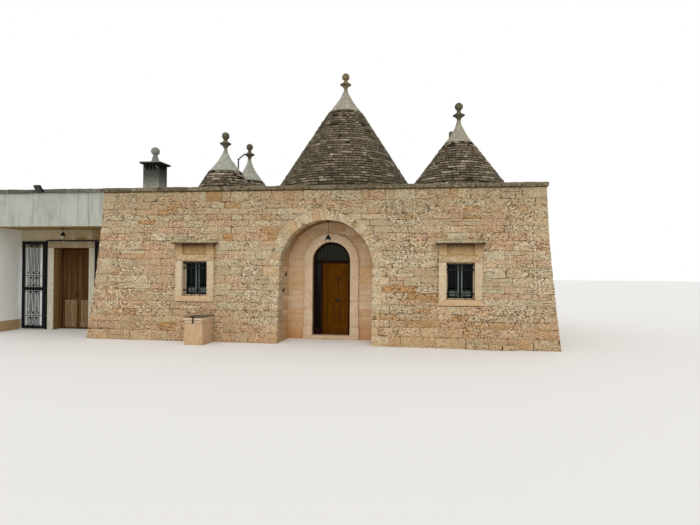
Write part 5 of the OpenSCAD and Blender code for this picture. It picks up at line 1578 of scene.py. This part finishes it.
# %% Lamps
ROSE_R, ROSE_H, HOOD_R, HOOD_H, GLASS_H = 0.055, 0.03, 0.085, 0.12, 0.08
NICHE_LAMP_Y, NICHE_ROD, PORCH_ROD = 0.30, 0.37, 0.09
lamp_pile, lamp_glass_pile = Pile(), Pile()
lamps_low, lamps_high = span("lamps")
niche_lamp_top = NICHE_SPRING + math.sqrt(NICHE_R ** 2 - ROSE_R ** 2) - 0.0003
porch_lamp_x, porch_lamp_y = lamps_low[0] + HOOD_R, lamps_high[1] - HOOD_R
for x, y, top, rod_h in ((0.0, NICHE_LAMP_Y, niche_lamp_top, NICHE_ROD),
                         (porch_lamp_x, porch_lamp_y, PORCH_CEILING, PORCH_ROD)):
    shade_top = top - ROSE_H - rod_h
    glass_top = shade_top - HOOD_H
    glass_foot = glass_top - GLASS_H
    rose = [(ROSE_R, top), (ROSE_R, top - 0.008), (0.035, top - 0.022), (0.010, top - ROSE_H)]
    shade = [(0.008, shade_top + 0.012), (0.022, shade_top), (0.026, shade_top - 0.012),
             (0.040, shade_top - 0.03), (HOOD_R * 0.92, glass_top + 0.01), (HOOD_R, glass_top),
             (HOOD_R * 0.6, glass_top + 0.004)]
    cup = [(0.03, glass_foot + 0.003), (0.043, glass_foot + 0.002), (0.043, glass_foot - 0.004),
           (0.012, glass_foot - 0.006)]
    for profile in (rose, shade, cup):
        turned(lamp_pile, profile, (x, y, 0), 24)
    rod(lamp_pile, [(x, y, top - 0.02), (x, y, shade_top)], 0.006, 8)
    glass_form = [(0.054, glass_top + 0.004), (0.055, glass_top - 0.01), (0.050, glass_foot + 0.03),
                  (0.0385, glass_foot + 0.002), (0.02, glass_foot - 0.003)]
    turned(lamp_glass_pile, glass_form, (x, y, 0), 24)
    cage = [(0.058, glass_top + 0.004), (0.054, glass_top - 0.04), (0.041, glass_foot)]
    for number in range(4):
        turn = number * math.pi / 2 + 0.4
        rod(lamp_pile, [(x + r * math.cos(turn), y + r * math.sin(turn), z) for r, z in cage], 0.003, 6)
set_piece("iron_lamps", lamp_pile, forged_iron, ["lamps"])
set_piece("lamp_glasses", lamp_glass_pile, lamp_glass, ["lamp_glass"])

# %% [markdown]
# Low down before the left window stands a stone cistern with a lid and a tap, and at the right
# end a low course of rough stones carries the wall's foot. In the niche's left jamb are the
# two iron pintles of an old gate.

# %% Cistern, footing, pintles
cistern_low, cistern_high = span("cistern")
lid_low, lid_high = span("cistern_lid")
cistern_pile, lid_pile = Pile(), Pile()
CISTERN_SPLIT, LID_SKIN = 0.56, 0.012
for foot, head, pick in ((0.0, CISTERN_SPLIT, 1.0), (CISTERN_SPLIT, cistern_high[2], 0.2)):
    block(cistern_pile, (*cistern_low[:2], foot), (*cistern_high[:2], head - HAIR), arris=0.012,
          cells=(4, 6, 3), wear=0.004, tone=(pick, 0.6, 0.3))
block(cistern_pile, lid_low, (*lid_high[:2], lid_high[2] - LID_SKIN), arris=0.010,
      cells=(4, 6, 1), wear=0.003, tone=(0.2, 0.8, 0.5))
block(lid_pile, (lid_low[0] + 0.004, lid_low[1] + 0.006, lid_high[2] - LID_SKIN - 0.004), lid_high,
      arris=0.010, cells=(4, 6, 1), wear=0.003, tone=(0.1, 0.1, 0.2))
set_piece("cistern_stones", cistern_pile, band_stone, ["cistern", "cistern_lid"])
set_piece("cistern_lid_top", lid_pile, coping_stone)
TAP_Z, SPOUT_OUT = 0.675, 0.024
tap_pile = Pile()
tap_x, tap_y = (cistern_low[0] + cistern_high[0]) / 2, cistern_low[1]
rod(tap_pile, [(tap_x, tap_y + 0.02, TAP_Z), (tap_x, tap_y - 0.020, TAP_Z)], 0.017, 12)
rod(tap_pile, [(tap_x - aside, tap_y - SPOUT_OUT, TAP_Z + up)
               for aside, up in ((0.0, 0.05), (0.004, 0.0), (0.012, -0.10))], 0.020, 12)
plate(tap_pile, tap_x, TAP_Z + 0.053, 0.055, 0.013, tap_y - 0.040, tap_y - 0.008, 0.008)
set_piece("cistern_tap", tap_pile, forged_iron)

footing_low, footing_high = span("footing_course")
footing_pile = Pile()
cuts = split(footing_low[0], footing_high[0], 0.3, 0.4)
for a, b in zip(cuts, cuts[1:]):
    block(footing_pile, (a + 0.006, footing_low[1] + dice.uniform(0, 0.04), 0),
          (b - 0.006, footing_high[1], footing_high[2] - dice.uniform(0, 0.03)), arris=0.02, cells=(3, 3, 2),
          wear=0.006, skew=0.008, tone=(dice.random(), dice.random(), 0.6))
set_piece("footing_stones", footing_pile, field_stone, ["footing_course"])

pintle_pile = Pile()
for y, z in ((0.50, 1.83), (0.258, 1.38)):
    edge = -NICHE_R
    rod(pintle_pile, [(edge - 0.02, y, z), (edge + 0.055, y, z)], 0.016, 10)
    rod(pintle_pile, [(edge + 0.045, y, z - 0.015), (edge + 0.045, y, z + 0.09)], 0.014, 10)
    block(pintle_pile, (edge - 0.01, y - 0.04, z - 0.04), (edge + 0.014, y + 0.04, z + 0.04))
set_piece("old_pintles", pintle_pile, rusted_iron)

# %% [markdown]
# The chimney is rendered in cement, grey at its foot and black with soot round its smoke slots.
# Its last 10 cm under the cap are soot and painted shadow of the cap. The soot follows the
# height, and a cloud breaks its edge.

# %% Chimney
SHAFT_TOP = span("chimney_shaft")[1][2]
SOOT_SIZE, SOOT_STRAY = 0.16, 0.12


def sooty_shaded_render(name, steps):
    """Steps are (height below the shaft's top in metres, colour), from the foot up."""
    material, tree, surface, place = start_material(name)
    soot = cloud(tree, place, SOOT_SIZE, 5.0)
    uneven = weighed(tree, soot, SOOT_STRAY, height_of(tree, place))
    reach, full = steps[0][0], SHAFT_TOP + SOOT_STRAY / 2
    share = ramp_up(tree, uneven, full - reach, full)
    stops = [(1 - down / reach, code) for down, code in steps]
    colour = add(tree, "ValToRGB", {"Fac": share}, stops=stops).outputs[0]
    colour = mottled(tree, colour, "8d8e80", 0.35, place, 0.09, 0.55, 0.72)
    colour = mottled(tree, colour, "262722", 0.5, place, 0.07, 0.55, 0.70)
    finish_surface(tree, surface, colour, soot, 0.008, 0.9, 0.15)
    return material


# The top stops are near black: soot, and painted shadow of the cap in the last 10 cm.
shaft_render = sooty_shaded_render(
    "sooty_cement_render_painted_shade",
    [(0.90, "a9ab9e"), (0.68, "9a9c8f"), (0.52, "6c6f66"), (0.32, "474a45"), (0.15, "30332f"),
     (0.10, "181a18"), (0.0, "151715")])
dress(shaft_render, "chimney_shaft")
cap_low, cap_high = span("chimney_cap")
cap_x, cap_y = (cap_low[0] + cap_high[0]) / 2, (cap_low[1] + cap_high[1]) / 2
slab_top, cone_h = cap_low[2] + 0.058, 0.257
cement = limestone(
    "weathered_cement",
    [(0.0, "83847e"), (1.0, "777871")],
    ("5c5a51", 0.6, 0.10), ("a5a59c", 0.6, 0.07), ("33322d", 0.6, 0.05), (0.006, 0.03))
slab_pile, soot_and_shadow_pile, chimney_pile = Pile(), Pile(), Pile()
block(slab_pile, (*cap_low[:2], cap_low[2] + 0.034), (*cap_high[:2], slab_top), arris=0.008,
      cells=(5, 5, 1), wear=0.003, tone=(0.2, 0.5, 0.4))
# A near black plate under the cap: soot, and painted shadow of the cap.
block(soot_and_shadow_pile, (cap_low[0] + HAIR, cap_low[1] + HAIR, cap_low[2] + 0.0005),
      (cap_high[0] - HAIR, cap_high[1] - HAIR, cap_low[2] + 0.040))
profile = [(r, slab_top + up) for r, up in (
    (0.150, -0.01), (0.150, 0.01), (0.122, 0.06), (0.098, 0.12), (0.078, 0.19), (0.06, cone_h))]
middle = slab_top + cone_h + BALL_R * 0.8
profile += [p for p in ball_profile(BALL_R, middle) if p[1] > middle - BALL_R * 0.75]
turned(chimney_pile, profile, (cap_x, cap_y, 0), 32, wear=0.005, size=0.08,
       tones=[(0.5, 0.3, 0.5)] * len(profile))
set_piece("chimney_cap_slab", slab_pile, cement)
set_piece("chimney_cap_underside", soot_and_shadow_pile, packing_painted_shade)
set_piece("chimney_top", chimney_pile, cement, ["chimney_cap"], crease=50)

# %% [markdown]
# The porch wing is plastered and limewashed. Rain has drawn grey streaks down the deep beam, and a
# tan band runs along the foot. Faces that look down, the ceiling and the wall over the door are
# painted ochre as their shade, darker towards the right. Faces that look to the left and the back are greyer.

# %% Limewashed plaster
SKIRTING_TOP = 0.33


def limewash(name, wash, stain, underside_shade_colour, streak_power, damp_and_shade_band=None, skirting=True):
    """The band is (colour, x where it starts, x where it is full) in house coordinates: painted shade towards
    the right.
    """
    material, tree, surface, place = start_material(name)
    tall = stretched(tree, place, 1.0, 1.0, 0.10)
    streaks = times(tree, blotches(tree, tall, 0.10, 0.45, 0.75, 4.0), streak_power)
    clouds = blotches(tree, place, 0.9, 0.35, 0.75, 5.0)
    colour = stained(tree, wash, stain, weighed(tree, clouds, 0.30, streaks, clamp=True))
    normal = add(tree, "SeparateXYZ", {0: add(tree, "NewGeometry").outputs["Normal"]}).outputs
    facing_up = normal["Z"]
    # Faces that look down take the underside colour: painted shade under the beam and the ceiling.
    colour = stained(tree, colour, underside_shade_colour, ramp_up(tree, facing_up, -0.6, -0.9))
    outward = add(tree, "Math", {0: normal["Y"], 1: normal["X"]}, operation="SUBTRACT").outputs[0]
    colour = stained(tree, colour, "bdb9a9", times(tree, ramp_up(tree, outward, 0.6, 0.9), 0.8))
    # Painted shade deep in the porch, growing towards the right.
    if damp_and_shade_band:
        across = add(tree, "SeparateXYZ", {0: place}).outputs["X"]
        shade_across = ramp_up(tree, across, damp_and_shade_band[1] + ORIGIN[0], damp_and_shade_band[2] + ORIGIN[0])
        patches = blotches(tree, place, 0.35, 0.2, 0.6, 5.0)
        not_looking_up = ramp_up(tree, facing_up, 0.6, 0.3)
        colour = stained(tree, colour, damp_and_shade_band[0], times(tree, shade_across, patches, not_looking_up))
    if skirting:
        band = ramp_up(tree, height_of(tree, place), SKIRTING_TOP, SKIRTING_TOP - 0.02)
        colour = stained(tree, colour, "b39a72", band)
    finish_surface(tree, surface, colour, cloud(tree, place, 0.12, 6.0), 0.004, 0.85, 0.2)
    return material


wall_wash = limewash("limewashed_plaster", "e6e5dd", "cfccbf", "a3875a", 0.2)
# Behind the gate the wash is whiter: painted light, where the sun reaches that wall.
gate_wash_painted_light = limewash("white_limewashed_plaster_painted_light", "fdfdfb", "f0efe9", "a3875a", 0.1, skirting=False)
side_wash = limewash("grey_limewashed_plaster", "fafbf6", "e6e5dc", "a3875a", 0.2)
# The wall over the door is painted ochre as its shade deep in the porch, darker towards the right.
over_wash = limewash("ochre_painted_shade_plaster", "c9bd9c", "a8946c", "8b7448", 0.15, ("8f7245", -9.7, -8.0))
beam_wash = limewash("rain_streaked_plaster", "adaea4", "73766e", "94804f", 0.6)
# On the roof, faces that don't look up darken towards the right: painted shade in the porch.
roof_wash = limewash("rain_streaked_roof_plaster", "a9aaa1", "878a82", "8f7a4e", 0.5, ("8b7446", -9.9, -8.6))
dress(side_wash, "wing_left_wall")
dress(wall_wash, "wing_back_wall", "porch_wall_right")
dress(gate_wash_painted_light, "porch_wall_left")
dress(over_wash, "porch_wall_over")
dress(beam_wash, "porch_beam")
dress(roof_wash, "wing_roof")
print(len(bpy.data.materials), "materials so far")

# %% Wing doorway: stone band, lining, frame and two leaves
band_low, band_high = span("wing_door_surround")
frame_low, frame_high = span("wing_door_frame")
WING_HEAD = frame_high[2]
WING_FLOOR = 0.05
wing_band_stone = limestone(
    "dressed_grey_limestone",
    [(0.0, "bfbba8"), (0.5, "b7b09a"), (1.0, "8f7a58")],
    ("a79b80", 0.5, 0.18), ("cfcdbf", 0.7, 0.12), ("7e725a", 0.4, 0.04), (0.004, 0.03),
    shades=(0.95, 1.05))
wing_trim = Pile()
for side, x0, x1 in ((-1, band_low[0], frame_low[0]), (1, frame_high[0], band_high[0])):
    cuts = split(0.0, WING_HEAD, 0.9, 0.2)
    for foot, head in zip(cuts, cuts[1:]):
        block(wing_trim, (x0, band_low[1], foot), (x1, band_high[1], head - HAIR), arris=0.005,
              cells=(1, 1, 4), wear=0.001, tone=(dice.uniform(0, 0.4), dice.random(), dice.random()))
block(wing_trim, (band_low[0], band_low[1], WING_HEAD), band_high, arris=0.005, cells=(6, 1, 1),
      wear=0.001, tone=(0.97, 0.5, 0.3))
set_piece("wing_door_stones", wing_trim, wing_band_stone, ["wing_door_surround"])

WING_FRAME_W, WING_LEAF_T, LINING_T = 0.05, 0.042, 0.009
WING_JAMB_TONE, WING_RAIL_TONE = (0.3, 0.2, 0.5), (0.7, 0.2, 0.5)
ROOM_FACE = frame_low[1] + FRAME_T
wing_frame, wing_lining = Pile(), Pile()
for x0, side in ((frame_low[0], 1), (frame_high[0], -1)):
    inner = x0 + side * WING_FRAME_W
    block(wing_frame, (x0, frame_low[1], 0), (inner, ROOM_FACE, WING_HEAD), arris=0.004, cells=(1, 1, 2),
          tone=WING_JAMB_TONE)
    block(wing_lining, (x0 + side * 0.0002, band_low[1] + 0.02, 0),
          (x0 + side * LINING_T, frame_low[1], WING_HEAD - 0.001), arris=0.002, cells=(1, 2, 3),
          tone=(0.3, 0.6, 0.5))
block(wing_frame, (frame_low[0], frame_low[1], WING_HEAD - WING_FRAME_W),
      (frame_high[0], ROOM_FACE, WING_HEAD), arris=0.004, tone=WING_RAIL_TONE)
block(wing_frame, (frame_low[0] + WING_FRAME_W, frame_low[1], 0),
      (frame_high[0] - WING_FRAME_W, ROOM_FACE, WING_FLOOR), arris=0.004, tone=WING_RAIL_TONE)
set_piece("wing_doorway_lining", wing_lining, lining_wood)
LEAF_GAP = 0.005
WING_LEAF_W = (frame_high[0] - frame_low[0]) / 2 - WING_FRAME_W - LEAF_GAP * 1.5
WING_STILE, OVERLAP, UPPER_BOARDS = 0.07, 0.002, 5
WING_RAIL_Z0, WING_RAIL_Z1 = 0.86, 0.93
z0, z1 = WING_FLOOR + LEAF_GAP, WING_HEAD - WING_FRAME_W - LEAF_GAP
front = ROOM_FACE - WING_LEAF_T
for body, side in (("wing_door_left", -1), ("wing_door_right", 1)):
    pin = pin_of(body)
    pile, low_pile = Pile(), Pile()
    edge = pin[0] - side * LEAF_GAP / 2

    def strip(target, from_hinge, to_hinge, foot, head, sink=0.0, arris=0.004, shade=None):
        """A board of the leaf between two distances from its hinge edge."""
        board(target, edge - side * from_hinge, edge - side * to_hinge, foot, head, front + sink,
              ROOM_FACE, arris, shade)

    from_stile, to_stile = WING_STILE - OVERLAP, WING_LEAF_W - (WING_STILE - OVERLAP)
    strip(pile, 0, WING_STILE, z0, z1)
    strip(pile, WING_LEAF_W - WING_STILE, WING_LEAF_W, z0, z1)
    strip(pile, from_stile, to_stile, z1 - 0.07, z1, 0.002)
    strip(low_pile, from_stile, to_stile, WING_RAIL_Z0, WING_RAIL_Z1, 0.002)
    strip(low_pile, from_stile, to_stile, z0, z0 + 0.14, 0.002)
    width = (to_stile - from_stile) / UPPER_BOARDS
    for number in range(UPPER_BOARDS):
        strip(pile, from_stile + width * number, from_stile + width * (number + 1) - 0.003, 0.92,
              z1 - 0.065, 0.006, 0.007, 0.25 + 0.5 * (number % 2) * dice.random())
    strip(low_pile, 0.066, WING_LEAF_W - 0.066, z0 + 0.135, 0.865, 0.012)
    strip(low_pile, 0.10, WING_LEAF_W - 0.10, z0 + 0.18, 0.82, 0.006, 0.010)
    if side < 0:
        block(pile, (edge + WING_LEAF_W - 0.03, front - 0.010, z0),
              (edge + WING_LEAF_W + 0.001, front + 0.004, z1), arris=0.005, cells=(1, 1, 2),
              tone=(0.2, 0.3, 0.5))
    hang(pile, pin, -side, ROOM_FACE, on_leaf=True)
    hang(wing_frame, pin, side, ROOM_FACE, on_leaf=False)
    set_piece(body + "_boards", pile, wing_wood, [body], body)
    set_piece(body + "_low_boards", low_pile, wing_wood_low, body=body)
set_piece("wing_doorway_frame", wing_frame, wing_wood, ["wing_door_frame"])
HANDLE_X, HANDLE_Z = -8.525, 1.12
handle_pile = Pile()
plate(handle_pile, HANDLE_X, HANDLE_Z, 0.02, 0.10, front - 0.014, front - 0.002, 0.003)
rod(handle_pile, [(HANDLE_X - aside, front - out, HANDLE_Z + 0.03)
                  for aside, out in ((0.0, 0.008), (0.0, 0.045), (0.012, 0.055), (0.09, 0.055))], 0.008, 10)
set_piece("wing_door_handle", handle_pile, forged_iron, body="wing_door_left")

# %% [markdown]
# The gate is forged iron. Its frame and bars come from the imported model, and slim scrolls are
# bent from thin bar and set between the bars, as a smith would.

# %% Gate and small ironwork
gate_iron = paint("black_painted_iron", "080d0d", "121714", 0.6, 0.08, shine=0.15)
dress(gate_iron, "gate_frame", "gate_left", "gate_right", "floodlight")
dress(rusted_iron, "roof_pipe")
GATE_STILE, GATE_NEAR, GATE_BARS, BAR_PITCH = 0.100, 0.015, 5, 0.1035
BAYS = [GATE_NEAR + GATE_STILE + BAR_PITCH * (column + 0.5) for column in range(GATE_BARS + 1)]
CROSS_Z = (0.443, 1.718)
SCROLL_R, SCROLL_ROD_R, KNOT_R = 0.034, 0.012, 0.016
SCROLL_HEIGHTS = ((0.50, 1.22), (0.10, 0.40), (1.77, 2.70), (1.38, 1.68))


def tall_scroll(middle, foot, head, mirror):
    """A tall S in a leaf's own plane, as pairs of distance from the pin and height."""
    turns = np.linspace(1.6 * math.pi, 0, 22)
    radii = SCROLL_R * (1 - 0.35 * np.arange(22) / 21)
    curl = list(zip(radii * np.cos(turns), radii * np.sin(turns)))
    low = [(middle - mirror * x, foot + SCROLL_R - z) for x, z in curl[::-1]]
    high = [(middle + mirror * x, head - SCROLL_R + z) for x, z in curl]
    return low + high


for body, heading in (("gate_left", math.pi), ("gate_right", -math.radians(30))):
    pin = pin_of(body)
    along = np.array([math.cos(heading), math.sin(heading)])
    pile = Pile()
    for foot, head in SCROLL_HEIGHTS:
        for column in range(1, GATE_BARS):
            scroll = tall_scroll(BAYS[column], foot, head, -1 if column % 2 else 1)
            rod(pile, [(*(pin + along * s), z) for s, z in scroll], SCROLL_ROD_R, 6)
    for cross in CROSS_Z:
        for middle in BAYS:
            turned(pile, ball_profile(KNOT_R, cross, 6), (*(pin + along * middle), 0), 8)
    set_piece(body + "_scrolls", pile, gate_iron, body=body)

flood_low, flood_high = span("floodlight")
flood_pile = Pile()
TILT = math.radians(40)
FLOOD_H, FLOOD_RIM, FLOOD_EDGE = 0.22, 0.018, (-0.0965, 4.160)


def on_flood(x, v, w):
    """The lamp's own plane: v up along its face, w out of the face."""
    return np.stack([x, FLOOD_EDGE[0] - v * math.sin(TILT) - w * math.cos(TILT),
                     FLOOD_EDGE[1] + v * math.cos(TILT) - w * math.sin(TILT)], axis=1)


block(flood_pile, (flood_low[0] + FLOOD_RIM, FLOOD_RIM, -0.002),
      (flood_high[0] - FLOOD_RIM, FLOOD_H - FLOOD_RIM, 0.003), on_flood, arris=0.002)
set_piece("floodlight_pane", flood_pile, flood_glass)
